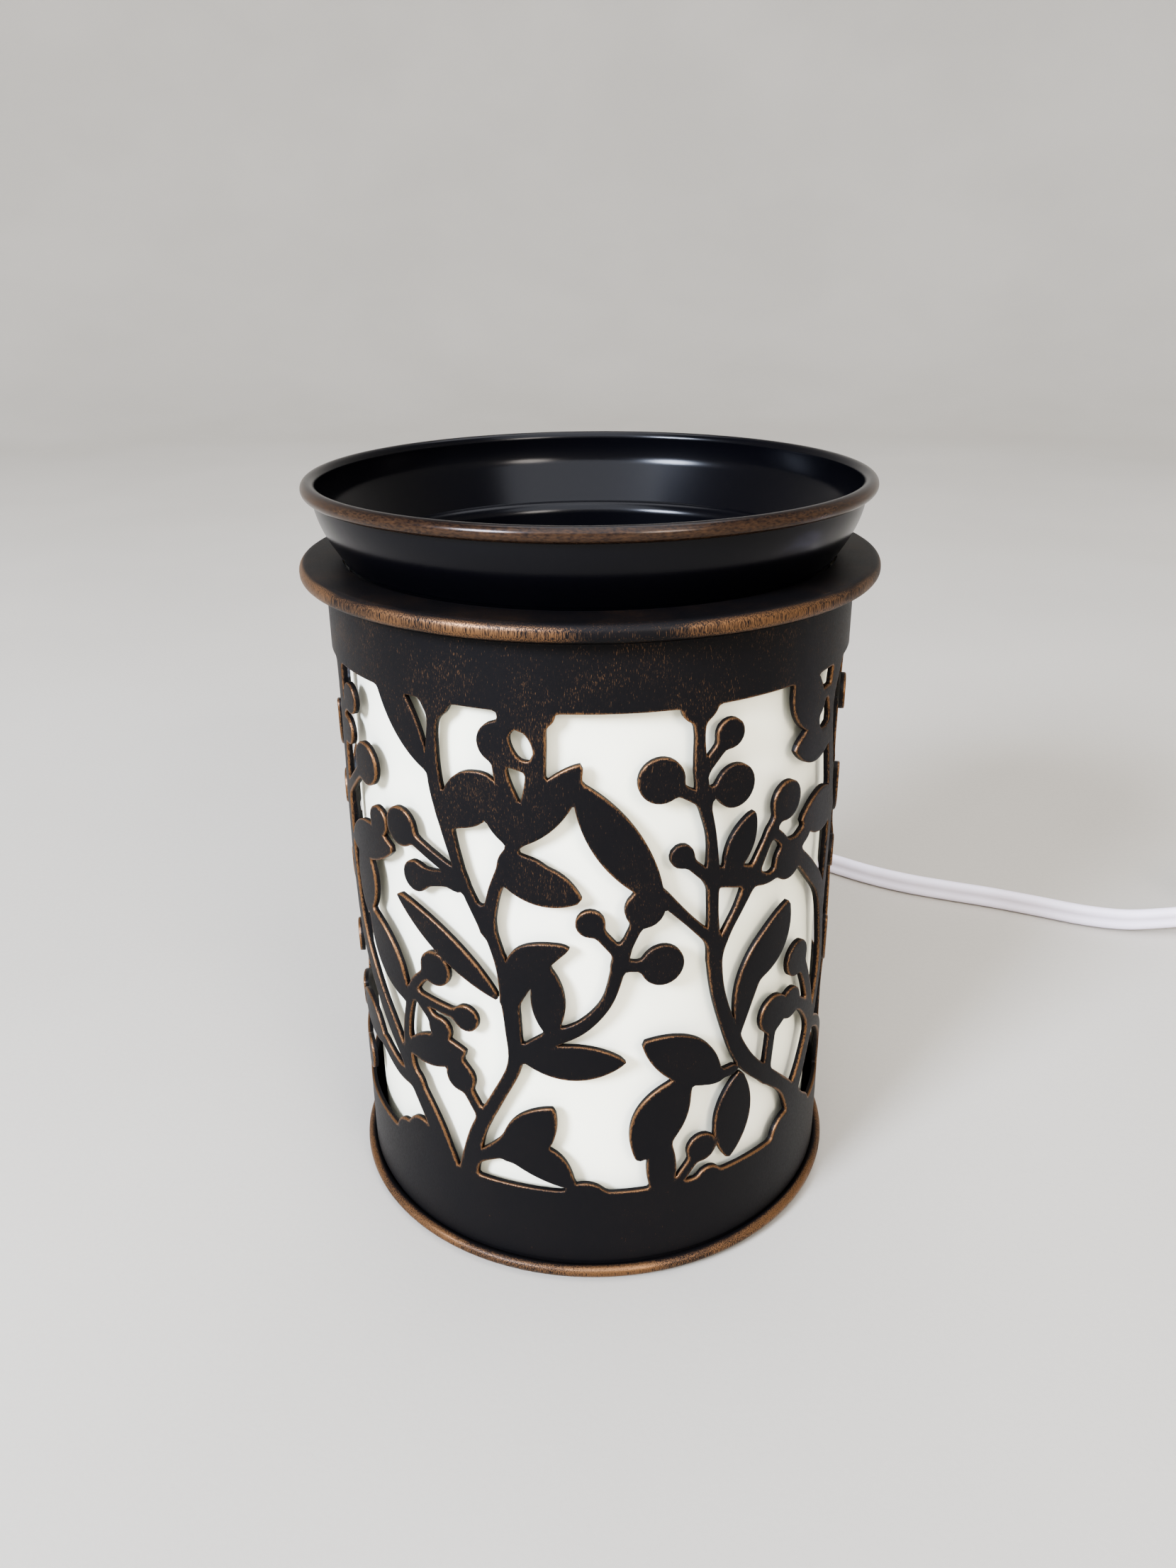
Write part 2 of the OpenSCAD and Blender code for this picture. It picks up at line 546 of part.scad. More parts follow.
module sleeve() {
  color(black) difference() {
    tube(sleeve_r, sleeve_t, sleeve_low, sleeve_top);
    for (turn = [0:repeats - 1], bay = BAYS) {
      a = middle(bay_line(bay));
      depth = (sleeve_r - sleeve_t) * cos(half_width(bay_line(bay))) - 1;
      rotate([0, 0, a + turn * period]) translate([0, -depth, 0]) rotate([90, 0, 0])
        linear_extrude(sleeve_r + 1 - depth) windows(bay, a);
    }
    translate([0, 0, exit_z]) rotate([-90, 0, 0]) cylinder(r = relief_neck_r + 0.1, h = sleeve_r + over);
  }
}

module diffuser() {
  slot_r = relief_neck_r + 0.3;
  color(white) difference() {
    tube(diffuser_r, diffuser_t, pan_floor, diffuser_top);
    translate([0, 0, exit_z]) rotate([-90, 0, 0]) cylinder(r = slot_r, h = sleeve_r);
    translate([-slot_r, 0, pan_floor - over]) cube([2 * slot_r, sleeve_r, exit_z - pan_floor + over]);
  }
}

module base_pan() {
  color(black) difference() {
    union() {
      lathe([
        [0, pan_low], [pan_bead_ring, pan_low], [pan_bead_ring, pan_floor], [sleeve_r - 0.4, pan_floor],
        [sleeve_r - 0.4, sleeve_low], [pan_wall_out, sleeve_low], [pan_wall_out, pan_floor + pan_wall_h],
        [pan_wall_in, pan_floor + pan_wall_h], [pan_wall_in, pan_floor], [0, pan_floor]
      ]);
      ring(pan_bead_ring, pan_bead_r, pan_floor - pan_t / 2);
    }
    for (k = [0:vent_count - 1]) rotate([0, 0, 360 * (k + 0.5) / vent_count]) translate([vent_ring, 0, 0])
      cylinder(r = vent_r, h = 2 * pan_floor);
    for (s = [-1, 1]) translate([s * bracket_screw_x, 0, 0])
      cylinder(r = screw_r + screw_gap, h = 2 * pan_floor);
  }
}

module base_feet() {
  color("#2b2a2a") for (k = [0:3]) rotate([0, 0, 45 + 90 * k]) translate([foot_ring, 0, 0])
    lathe([[0, 0], [foot_r - 0.6, 0], [foot_r, 0.6], [foot_r, foot_h], [0, foot_h]]);
}

module lamp_bracket() {
  foot_z = pan_floor + bracket_t;
  line = arced([
    [-bracket_x - bracket_foot, foot_z, 0], [-bracket_x, foot_z, 1], [-bracket_x, bracket_h, 2.5],
    [bracket_x, bracket_h, 2.5], [bracket_x, foot_z, 1], [bracket_x + bracket_foot, foot_z, 0]
  ]);
  color(steel) difference() {
    rotate([90, 0, 0]) linear_extrude(bracket_w, center = true) polygon(sheet(line, -bracket_t));
    for (s = [-1, 1]) {
      translate([s * bracket_screw_x, 0, 0]) cylinder(r = screw_r + screw_gap, h = 2 * foot_z);
      translate([s * holder_screw_ring, 0, bracket_h / 2]) cylinder(r = screw_r + screw_gap, h = bracket_h);
    }
    translate([0, 0, bracket_h / 2]) cylinder(r = wire_x + wire_r + 2, h = bracket_h);
  }
}

module bracket_screws() {
  color(steel) for (s = [-1, 1]) translate([s * bracket_screw_x, 0, 0]) {
    lathe([
      [0, pan_low - head_h], [head_r - 0.6, pan_low - head_h], [head_r, pan_low - 0.5],
      [head_r, pan_low], [0, pan_low]
    ]);
    translate([0, 0, pan_low - 0.5]) cylinder(r = screw_r, h = pan_t + bracket_t + nut_h + 2.5);
  }
}

module bracket_nuts() {
  color(steel) for (s = [-1, 1]) translate([s * bracket_screw_x, 0, pan_floor + bracket_t]) difference() {
    cylinder(r = nut_r, h = nut_h, $fn = 6);
    translate([0, 0, -over]) cylinder(r = screw_r + 0.05, h = nut_h + 2 * over);
  }
}

module lamp_holder() {
  slot_w = 2 * (pin_r + pin_gap);
  entry_r = pin_head_r + 0.3;
  wedge = 2 * pin_ring_r;
  color(white) difference() {
    lathe([
      [0, holder_low], [holder_r, holder_low], [holder_r, holder_top - 1.5],
      [holder_r - 1.5, holder_top], [0, holder_top]
    ]);
    translate([0, 0, holder_floor]) cylinder(r = cavity_r, h = holder_h - 8 - slot_plate);
    for (k = [0, 180]) rotate([0, 0, k]) {
      translate([0, 0, holder_top - slot_plate - over]) linear_extrude(slot_plate + 2 * over) intersection() {
        difference() {
          circle(pin_ring_r + slot_w / 2);
          circle(pin_ring_r - slot_w / 2);
        }
        polygon([
          [0, 0], [wedge, 0], [wedge, wedge * tan(lock_deg / 2)],
          [wedge * cos(lock_deg), wedge * sin(lock_deg)]
        ]);
      }
      translate([pin_ring_r, 0, holder_top - slot_plate - over])
        cylinder(r = slot_w / 2, h = slot_plate + 2 * over);
      rotate([0, 0, lock_deg]) translate([pin_ring_r, 0, holder_top - slot_plate - over])
        cylinder(r = entry_r, h = slot_plate + 2 * over);
      translate([wire_x, 0, holder_low - over])
        cylinder(r = wire_r + 0.25, h = holder_floor - holder_low + 2 * over);
      translate([holder_screw_ring, 0, holder_low - over])
        cylinder(r = screw_r + screw_gap, h = holder_h + 2 * over);
      translate([holder_screw_ring, 0, holder_top - holder_screw_drop])
        cylinder(r = head_r - 0.1, h = holder_h);
    }
  }
}

module holder_screws() {
  top = holder_top - holder_screw_drop;
  color(steel) for (s = [-1, 1]) translate([s * holder_screw_ring, 0, 0]) {
    translate([0, 0, top]) cylinder(r = head_r - 0.4, h = 2);
    translate([0, 0, bracket_h - bracket_t - 2])
      cylinder(r = screw_r, h = top + 0.5 - bracket_h + bracket_t + 2);
  }
}

module holder_contacts() {
  out = pin_ring_r + 2.2;
  line = [
    [wire_x - 1.4, holder_floor], [out, holder_floor], [out, contact_top], [pin_ring_r - 2.2, contact_top]
  ];
  color("#c9a24b") for (k = [0, 180]) rotate([0, 0, k]) rotate([90, 0, 0])
    linear_extrude(2 * pin_head_r, center = true) polygon(sheet(line, contact_t));
}

module bulb_base() {
  color(white) lathe([
    [0, bulb_low], [bulb_neck_r - 1.8, bulb_low], [bulb_neck_r - 1.2, bulb_low + 0.6],
    [bulb_neck_r - 1.2, bulb_low + 5],
    [bulb_neck_r, bulb_low + 6.4], [bulb_neck_r, bulb_low + bulb_neck_h], [0, bulb_low + bulb_neck_h]
  ]);
}

module bulb_pins() {
  color(steel) for (s = [-1, 1]) translate([s * pin_ring_r, 0, pin_head_low])
    lathe([
      [0, 0], [pin_head_r - 0.4, 0], [pin_head_r, 0.4], [pin_head_r, pin_head_h], [pin_r, pin_head_h],
      [pin_r, bulb_low - pin_head_low], [0, bulb_low - pin_head_low]
    ]);
}

// The reflector's outer face, from the neck to the lens, as shares of its height and spread
REFLECTOR = [[0, 0], [0.09, 0.16], [0.28, 0.46], [0.52, 0.72], [0.76, 0.9], [0.92, 1], [1, 1]];
function reflector_point(s) = [
  lerp(bulb_neck_r, bulb_r, s[1]), lerp(bulb_low + bulb_neck_h, bulb_top, s[0])
];

module bulb_reflector() {
  color(steel) lathe(sheet([for (s = REFLECTOR) reflector_point(s)], glass_t));
}

module bulb_lens() {
  r = bulb_r - glass_t - 0.05;
  color("#dfe6ea") translate([0, 0, bulb_top - lens_t])
    lathe([[0, 0], [r, 0], [r, lens_t - 0.5], [r - 0.5, lens_t], [0, lens_t]]);
}

module bulb_capsule() {
  low = bulb_low + bulb_neck_h;
  color("#f2f0e6") lathe([
    [0, low], [4, low], [4, low + 12], [3.5, low + 14.4], [2.2, low + 16], [1, low + 16.4], [0, low + 16.4]
  ]);
}

module lead_wires() {
  round_section = [for (k = [0:7]) wire_r * [cos(45 * k), sin(45 * k)]];
  lift = cord_w / 4;
  color("#d9d7cf") for (s = [-1, 1]) strand(smooth([
    [s * wire_x, 0, holder_floor], [s * wire_x, 0, holder_floor - 5], [s * wire_x, 0, holder_low],
    [s * wire_x, 0.4, bracket_h - 6], [s * wire_x, 4, exit_z + 3.5], [s * wire_x, 12, exit_z + s * 0.6],
    [s * wire_x * 0.7, 22, exit_z + s * lift], [s * 0.4, 33, exit_z + s * lift],
    [0, cord_start - 3, exit_z + s * lift], [0, cord_start, exit_z + s * lift]
  ], 2), round_section, [1, 0, 0]);
}

module strain_relief() {
  inner = diffuser_r - diffuser_t;
  face = sleeve_r + 0.02;
  ribs = 4;
  step = (relief_l - 6) / ribs;
  color(white) translate([0, 0, exit_z]) difference() {
    rotate([-90, 0, 0]) lathe(concat(
      [[0, inner], [relief_neck_r, inner], [relief_neck_r, face], [relief_neck_r + 1.7, face],
       [relief_neck_r + 1.7, face + 1.4], [relief_neck_r + 1.2, face + 2]],
      [for (k = [0:ribs - 1]) each let (y = face + 2.4 + k * step, r = relief_neck_r + 0.5 - 0.35 * k)
        [[r, y], [r, y + 0.6 * step], [r - 0.8, y + 0.66 * step], [r - 0.8, y + 0.94 * step]]],
      [[relief_neck_r - 0.9, face + 2.4 + ribs * step], [relief_neck_r - 1.2, relief_y], [0, relief_y]]
    ));
    translate([0, inner - over, 0]) rotate([0, 0, 90]) cord_channel(relief_y - inner + 2 * over, cord_gap);
  }
}

module cord_run() {
  color(white) flat_cord(smooth(RUN_ROUTE, 2), OCT);
}

// One half of the switch's case, on the side of the split plane that s gives
module switch_half(s) {
  axle_x = switch_x + switch_l / 2;
  difference() {
    translate([switch_x, switch_y, case_low]) {
      rotate([90, 0, 0]) linear_extrude(2 * (switch_t / 2 - 1.2), center = true)
        polygon(soft_box(0, 0, switch_l, switch_h, 6));
      translate([0, s * (switch_t / 2 - 1), 0]) rotate([90, 0, 0]) linear_extrude(2, center = true)
        polygon(soft_box(1.2, 1.2, switch_l - 1.2, switch_h - 1.2, 5));
    }
    translate([switch_x - over, switch_y - s * switch_t, case_low - over])
      translate([0, -switch_t, 0]) cube([switch_l + 2 * over, 2 * switch_t, switch_h + 2 * over]);
    translate([axle_x, switch_y, wheel_z]) rotate([90, 0, 0]) {
      cylinder(r = wheel_r + 0.5, h = wheel_w + 0.8, center = true);
      cylinder(r = axle_r + 0.05, h = axle_l + 0.4, center = true);
    }
    for (x = [switch_x - over, switch_x + switch_l - switch_pocket])
      translate([x, switch_y, switch_axis_z]) cord_channel(switch_pocket + over, cord_gap);
    translate([case_screw_x, switch_y, wheel_z]) rotate([90, 0, 0]) {
      translate([0, 0, -case_screw_in]) cylinder(r = case_screw_r + 0.1, h = switch_t);
      translate([0, 0, switch_t / 2 - 1.8]) cylinder(r = 2 * case_screw_r + 0.2, h = switch_t);
    }
  }
}

module switch_case_front() {
  color(white) switch_half(-1);
}

module switch_case_back() {
  color(white) switch_half(1);
}

module switch_wheel() {
  notches = 18;
  color(white) translate([switch_x + switch_l / 2, switch_y, wheel_z]) rotate([90, 0, 0]) difference() {
    cylinder(r = wheel_r, h = wheel_w, center = true);
    cylinder(r = axle_r + wheel_gap, h = wheel_w + 2 * over, center = true);
    for (k = [0:notches - 1]) rotate([0, 0, 360 * k / notches]) translate([wheel_r + 0.3, 0, 0])
      cylinder(r = 0.8, h = wheel_w + 2 * over, center = true, $fn = 16);
  }
}

module switch_axle() {
  color(steel) translate([switch_x + switch_l / 2, switch_y, wheel_z]) rotate([90, 0, 0])
    cylinder(r = axle_r, h = axle_l, center = true);
}

module switch_screw() {
  color(steel) translate([case_screw_x, switch_y, wheel_z]) rotate([90, 0, 0]) {
    translate([0, 0, 0.4 - case_screw_in]) cylinder(r = case_screw_r, h = case_screw_in + switch_t / 2 - 2);
    translate([0, 0, switch_t / 2 - 1.8]) cylinder(r = 2 * case_screw_r, h = 1.4);
  }
}

module cord_link() {
  color(white) flat_cord(smooth(LINK_ROUTE, 2), OCT);
}

module cord_coil() {
  color(white) flat_cord(COIL_ROUTE, HEX);
}

module coil_ties() {
  slack = 0.7;
  r1 = coil_r + cord_t / 2 + slack;
  z0 = layer_low - cord_w / 2 - 0.15;
  z1 = layer_high + cord_w / 2 + 0.15;
  color("#e4e3dc") translate([coil_x, coil_y, 0]) for (a = [135, 225]) {
    first = (450 - a) % 360 / 360;
    r0 = min([for (t = [first:1:2 * coil_turns]) coil_radius(t)]) - cord_t / 2 - slack;
    rotate([0, 0, a]) rotate([90, 0, 0]) linear_extrude(tie_w, center = true) difference() {
      polygon(soft_box(r0 - tie_t, z0 - tie_t, r1 + tie_t, z1 + tie_t, 0.9));
      polygon(soft_box(r0, z0, r1, z1, 0.3));
    }
  }
}

module cord_tail() {
  color(white) flat_cord(smooth(TAIL_ROUTE, 2), OCT);
}

module plug_body() {
  neck = 12;
  high = plug_h / 2;
  deep = plug_t / 2;
  side = [
    [-plug_l, 2 - high], [2 - plug_l, -high], [-neck - 2, -high], [2 - neck, 4 - high],
    [-1, -cord_w / 2 - 1.6], [0, -cord_w / 2 - 1.2], [0, cord_w / 2 + 1.2], [-1, cord_w / 2 + 1.6],
    [2 - neck, high - 4], [-neck - 2, high], [2 - plug_l, high], [-plug_l, high - 2]
  ];
  plan = [
    [-plug_l, 1.2 - deep], [1.2 - plug_l, -deep], [-neck - 2, -deep], [0, -cord_t / 2 - 1.4],
    [0, cord_t / 2 + 1.4], [-neck - 2, deep], [1.2 - plug_l, deep], [-plug_l, deep - 1.2]
  ];
  color(white) translate([plug_x, plug_y, layer_high]) difference() {
    intersection() {
      rotate([90, 0, 0]) linear_extrude(2 * plug_t, center = true) polygon(side);
      linear_extrude(2 * plug_h, center = true) polygon(plan);
    }
    translate([-plug_depth - 0.3, 0, 0]) cord_channel(plug_depth + over, cord_gap);
    for (s = [-1, 1]) translate([-plug_l - over, -blade_w / 2 - 0.05, s * blade_gap / 2 - blade_t / 2 - 0.05])
      cube([blade_in + over, blade_w + 0.1, blade_t + 0.1]);
  }
}

module plug_blades() {
  half = blade_w / 2;
  color("#c9a24b") translate([plug_x - plug_l, plug_y, layer_high]) for (s = [-1, 1]) difference() {
    translate([0, 0, s * blade_gap / 2]) linear_extrude(blade_t, center = true)
      polygon([
        [blade_in, -half], [blade_in, half], [1.5 - blade_l, half], [-blade_l, half - 1.5],
        [-blade_l, 1.5 - half], [1.5 - blade_l, -half]
      ]);
    translate([4 - blade_l, 0, s * blade_gap / 2]) cylinder(r = 1.6, h = 2 * blade_t, center = true);
  }
}

wax_dish();
top_flange();
sleeve();
diffuser();
base_pan();
base_feet();
lamp_bracket();
bracket_screws();
bracket_nuts();
lamp_holder();
holder_screws();
holder_contacts();
bulb_base();
bulb_pins();
bulb_reflector();
bulb_lens();
bulb_capsule();
lead_wires();
strain_relief();
cord_run();
switch_case_front();
switch_case_back();
switch_wheel();
switch_axle();
switch_screw();
cord_link();
cord_coil();
coil_ties();
cord_tail();
plug_body();
plug_blades();
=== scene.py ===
"""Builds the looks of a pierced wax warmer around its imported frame."""

import json
import math

import bpy
import numpy as np
from bpy.props import FloatProperty, FloatVectorProperty, IntProperty, PointerProperty
from mathutils import Matrix, Vector

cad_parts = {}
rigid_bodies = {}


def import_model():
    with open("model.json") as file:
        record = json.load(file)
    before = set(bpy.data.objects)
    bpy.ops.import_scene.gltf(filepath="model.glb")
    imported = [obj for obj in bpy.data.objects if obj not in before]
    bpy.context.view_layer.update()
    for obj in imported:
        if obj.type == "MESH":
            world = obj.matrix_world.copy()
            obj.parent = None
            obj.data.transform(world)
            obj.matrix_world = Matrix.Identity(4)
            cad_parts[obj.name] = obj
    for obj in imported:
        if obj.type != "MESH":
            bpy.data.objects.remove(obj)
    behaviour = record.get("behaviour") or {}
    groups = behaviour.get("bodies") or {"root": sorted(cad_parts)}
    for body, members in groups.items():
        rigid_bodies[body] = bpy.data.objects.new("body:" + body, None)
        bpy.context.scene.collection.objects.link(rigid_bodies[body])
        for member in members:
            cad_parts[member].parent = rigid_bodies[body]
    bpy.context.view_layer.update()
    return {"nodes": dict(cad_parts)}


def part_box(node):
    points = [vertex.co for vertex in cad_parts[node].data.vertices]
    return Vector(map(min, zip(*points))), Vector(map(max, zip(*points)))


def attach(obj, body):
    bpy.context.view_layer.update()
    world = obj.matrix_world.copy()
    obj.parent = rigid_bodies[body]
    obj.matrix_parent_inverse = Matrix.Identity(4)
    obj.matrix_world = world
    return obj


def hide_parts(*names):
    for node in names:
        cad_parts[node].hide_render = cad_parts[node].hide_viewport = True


bl_info = {
    "name": "Wax Warmer",
    "version": (1, 0, 0),
    "blender": (4, 2, 0),
    "location": "View3D > Sidebar > Wax Warmer",
    "description": "Builds the looks of a pierced wax warmer around its packed frame",
    "category": "Object",
}

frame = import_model()
NODES = frame["nodes"]
MM = 0.001
# Steps round a spun piece.
SEGMENTS = 240


def linear(hex_colour):
    """Linear RGBA of an sRGB hex colour."""
    channels = [int(hex_colour[k : k + 2], 16) / 255 for k in (1, 3, 5)]
    return tuple(
        c / 12.92 if c <= 0.04045 else ((c + 0.055) / 1.055) ** 2.4 for c in channels
    ) + (1.0,)


def colour(name, description, hex_colour):
    """A colour property with an sRGB hex default."""
    return FloatVectorProperty(
        name=name,
        description=description,
        subtype="COLOR",
        size=4,
        min=0,
        max=1,
        default=linear(hex_colour),
    )


def length(name, description, millimetres):
    """A length property with a default in millimetres."""
    return FloatProperty(
        name=name, description=description, unit="LENGTH", default=millimetres * MM
    )


SLEEVE_LOW, SLEEVE_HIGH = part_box("sleeve")
FLANGE_LOW, FLANGE_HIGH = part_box("top_flange")


class WarmerSizes(bpy.types.PropertyGroup):
    """Sizes of the pieces that are drawn here."""

    sleeve_radius: length("Sleeve radius", "Outer radius of the pierced sleeve", SLEEVE_HIGH.x / MM)
    sleeve_sheet: length("Sleeve sheet", "Thickness of the sleeve's sheet", 1.1)
    lower_band: length("Lower band", "Height of the plain band at the bottom", 16.8)
    upper_band: length("Upper band", "Height of the plain band at the top", 15.4)
    edge_round: length("Edge rounding", "Radius of the windows' rounded edges", 0.28)
    pattern_columns: IntProperty(
        name="Pattern columns", description="Grid columns round the sleeve", default=412
    )
    cord_width: length("Cord width", "Height of the flat cord, which lies on edge", 6.4)
    cord_thickness: length("Cord thickness", "Thickness of the flat cord", 3.3)


class WarmerColours(bpy.types.PropertyGroup):
    """Colours of the finishes."""

    # The paint's near-black is its own colour; its slight blue cast is a painted sheen for cool daylight.
    paint: colour("Paint", "Near-black bronze paint", "#0b0b0d")
    paint_warm: colour("Warm paint", "Paint where it is thin", "#100e0e")
    copper: colour("Copper", "Metal that shows where the paint is rubbed", "#71543a")
    # The enamel's black is its own colour; its slight blue cast is a painted sheen for cool daylight.
    enamel: colour("Enamel", "Black of the dish", "#060609")
    glass: colour("Diffuser", "Off-white of the diffuser", "#f9f7de")
    cord: colour("Cord", "White of the cord's jacket", "#dcd4dd")
    plastic: colour("Plastic", "White of the switch and plug", "#efece6")
    ceramic: colour("Ceramic", "White of the lamp holder", "#e6e2d9")
    steel: colour("Steel", "Plated steel", "#b4b6b8")
    brass: colour("Brass", "Plain brass", "#c8ab69")
    rubber: colour("Rubber", "Black of the feet", "#262524")
    floor: colour("Floor", "Pale floor and backdrop", "#aaa59b")


# The sleeve's foliage, drawn flat: degrees round from the front, millimetres above the lower band.
# It repeats every half turn. A stem is (degrees, height, width) from point to point.
DRAWN_HEIGHT = 98
PERIOD = 180
STEMS = [
    [(84, -3, 4), (88, 15, 2.6), (84, 35, 2.6), (88, 55, 2.6), (92, 75, 2.6), (90, 100, 4)],
    [(21, 23.6, 2.6), (16, 10.6, 2.6)],
    [
        (-30, -3, 4.6), (-26.4, 10, 3.4), (-21.4, 19, 2.8), (-16.6, 28, 2.8), (-16.6, 36, 3.2),
        (-17.2, 42, 3.4), (-18.6, 49, 2.4), (-20.6, 55, 2.4), (-22.2, 59.5, 2.8),
    ],
    [
        (-21.6, 56, 2.4), (-26.2, 64, 2), (-28.4, 70, 2.2), (-30.2, 76, 2.8), (-32.2, 83, 2.8),
        (-32.4, 90, 2.2), (-31.8, 95, 2.4), (-31, 99, 7),
    ],
    [
        (-21.4, 56, 2.4), (-19.6, 64, 2.4), (-15.2, 73.5, 2.4), (-11, 83, 3.4), (-10, 91, 3.4),
        (-10.2, 95.6, 4), (-11.2, 99, 7.4),
    ],
    [(-17.6, 92, 2.4), (-17.2, 86.5, 2.6), (-15, 81, 3)],
    [(-16.6, 89.4, 2), (-13.6, 88.8, 2.2), (-12, 88.4, 2.2), (-10.4, 87.8, 2.4)],
    [(-28.6, 77.8, 5.6), (-24.6, 81.6, 8.6), (-22, 83.2, 6.8)],
    [(-15.6, 70, 5), (-12, 68.2, 6.6)],
    [(-31.8, 27.8, 2.6), (-30.4, 24.4, 3.8)],
    [(-14.4, 99, 6), (-13.2, 91.4, 5)],
    [(-42, -1, 5), (-36, 1, 5)],
    [(-38, 63.2, 4), (-31.4, 64.4, 2.8), (-28.4, 64.6, 4.4)],
    [(55.4, 90, 2.6), (56.6, 93, 2.2), (59, 93.6, 2.2), (61, 91.5, 2.4)],
    [
        (-15.4, 30.5, 3), (-9, 34.6, 3.2), (-2, 37.8, 2.6), (3.2, 43, 2.2), (5.6, 50, 2.6),
        (6.4, 53.5, 2.6),
    ],
    [(-28, 3.4, 2.6), (-24.4, 5.6, 2.7), (-18, 9.4, 5)],
    [
        (-33.5, -3, 4), (-38, 7, 4.4), (-43.6, 15, 4), (-48.2, 20.8, 3.2), (-53, 26.4, 3.8),
        (-59, 33.4, 3.6), (-66, 43, 3.4), (-69, 55, 3.2), (-69, 67, 3), (-67.6, 79, 2.8),
        (-66.6, 89, 2.8), (-66.4, 100, 4),
    ],
    [
        (-46, 19, 3), (-46, 26.5, 2.2), (-44.6, 33, 2), (-42, 39, 2.4), (-38.5, 42.4, 2.2),
        (-35.5, 44.6, 2.6),
    ],
    [(-44, 16, 4), (-50, 16, 3.2), (-57, 19, 3)],
    [
        (58, 1, 8), (51, 10.6, 3.6), (44, 16.6, 3.4), (38, 21.6, 3.6), (34, 26.6, 3.6),
        (30.4, 34, 3), (27.6, 42, 2.8), (26.4, 50, 3), (25.8, 58, 2.2), (25.4, 67, 2.4),
        (24.8, 74, 1.9), (23, 80.5, 2.4), (22, 87, 2.4), (21.6, 94.6, 2.2), (21.7, 99, 7.5),
    ],
    [
        (26.6, 49, 2.4), (29.4, 54.2, 1.9), (32, 58, 2), (35, 63, 2.8), (39.6, 70.4, 2.2),
        (44.7, 76.2, 2.6),
    ],
    [(26, 65.6, 3.6), (33.4, 64.2, 4.2), (40, 62, 2), (46.4, 64, 2.6)],
    [(40.4, 71.2, 2.2), (44, 68.6, 2), (46.4, 64.6, 2.4)],
    [(46, 65, 3), (52, 67.4, 3.6)],
    [(26.4, 52.4, 2.4), (20.4, 58, 2), (14.6, 63.6, 2.6)],
    [(32.4, 23, 2.2), (27, 22.8, 2.2)],
    [(54.5, 7, 4.6), (59.6, 15, 3.6), (62, 21.4, 3.6), (57, 27.6, 2.8), (50.8, 31, 2.6)],
    [(62, 22, 3), (59.6, 29.6, 2.8), (56, 36.6, 2.8), (52.6, 40.6, 3)],
    [(62, 21, 3), (70, 17, 2.6), (78, 9, 2.6), (84, -3, 4)],
    [(50, 63.6, 3), (56, 58.4, 3.6), (62.4, 52, 3.4), (65.4, 43, 2.6), (67, 33, 2.6), (64, 23, 3)],
    [
        (65, 100, 6), (61.4, 92.4, 3.2), (61.8, 86, 2.6), (64.2, 77, 2.8), (66.6, 67, 2.6),
        (66, 57, 2.6), (65, 47, 2.6),
    ],
]
# A leaf is its base, its tip, its width and its bow to the left.
LEAVES = [
    (85, 25, 76, 39, 7.6, 0), (86, 41, 98, 53, 7.6, 0), (89, 59, 78, 73, 7.6, 0),
    (92, 75, 103, 87, 7.6, 0), (87, 12, 101, 22, 8, 0), (-30.4, 76, -20, 85.8, 8, -1),
    (-15, 73, -19.6, 85.4, 6.6, 0), (-14.6, 73.5, -1.2, 89.4, 6.8, 0),
    (14.8, 62.4, -3, 86.4, 8.6, 0.4), (-18.4, 66.8, -1.4, 63.7, 7.6, 1),
    (-19, 41.6, -46.6, 58, 5.6, -0.9), (-15, 29.8, 7.4, 30, 7.6, 0), (-8.4, 35, -9.4, 51, 6.4, 0),
    (-15.4, 41, -3.8, 54.4, 6.8, 4.2), (-20, 5.4, -8.2, 19.4, 9, -0.2), (-20, 7, -3.8, 0.8, 7.5, 2.6),
    (-44.8, 34, -59, 50, 8.6, 0), (-46.8, 23.2, -28, 28.4, 7.2, 0), (-68, 61.4, -46, 66.2, 8, 1),
    (-60.4, 47.6, -60, 64, 8.6, -0.6), (-57, 18.6, -73, 24, 7.4, -0.6),
    (-33.6, 84.6, -48.6, 105, 6.8, 0), (28.6, 64.6, 35.2, 76.8, 5.8, 0), (33.6, 30, 47.6, 54.8, 6, 3.6),
    (38.4, 41, 47.6, 55, 7.6, -0.2), (29.4, 21.6, 10.6, 33.8, 9.6, -0.9),
    (20.6, 25, 9.8, 6.8, 10.6, -0.4), (14.9, 14, 15.8, -5, 6, 0), (34.4, 22, 32, 2, 8.8, -0.2),
    (55.4, 87.4, 45.6, 100, 9.6, -0.2), (63, 84.6, 46.2, 85.4, 7.8, 0),
    (69, 67.6, 50.4, 70.6, 9.2, -0.8),
]
# An oval hole is its two ends, its width and its bow.
SLITS = [(-14.3, 94.8, -11.5, 89.5, 3.4, 0), (57.2, 90.9, 58.2, 86.9, 4.2, 0)]
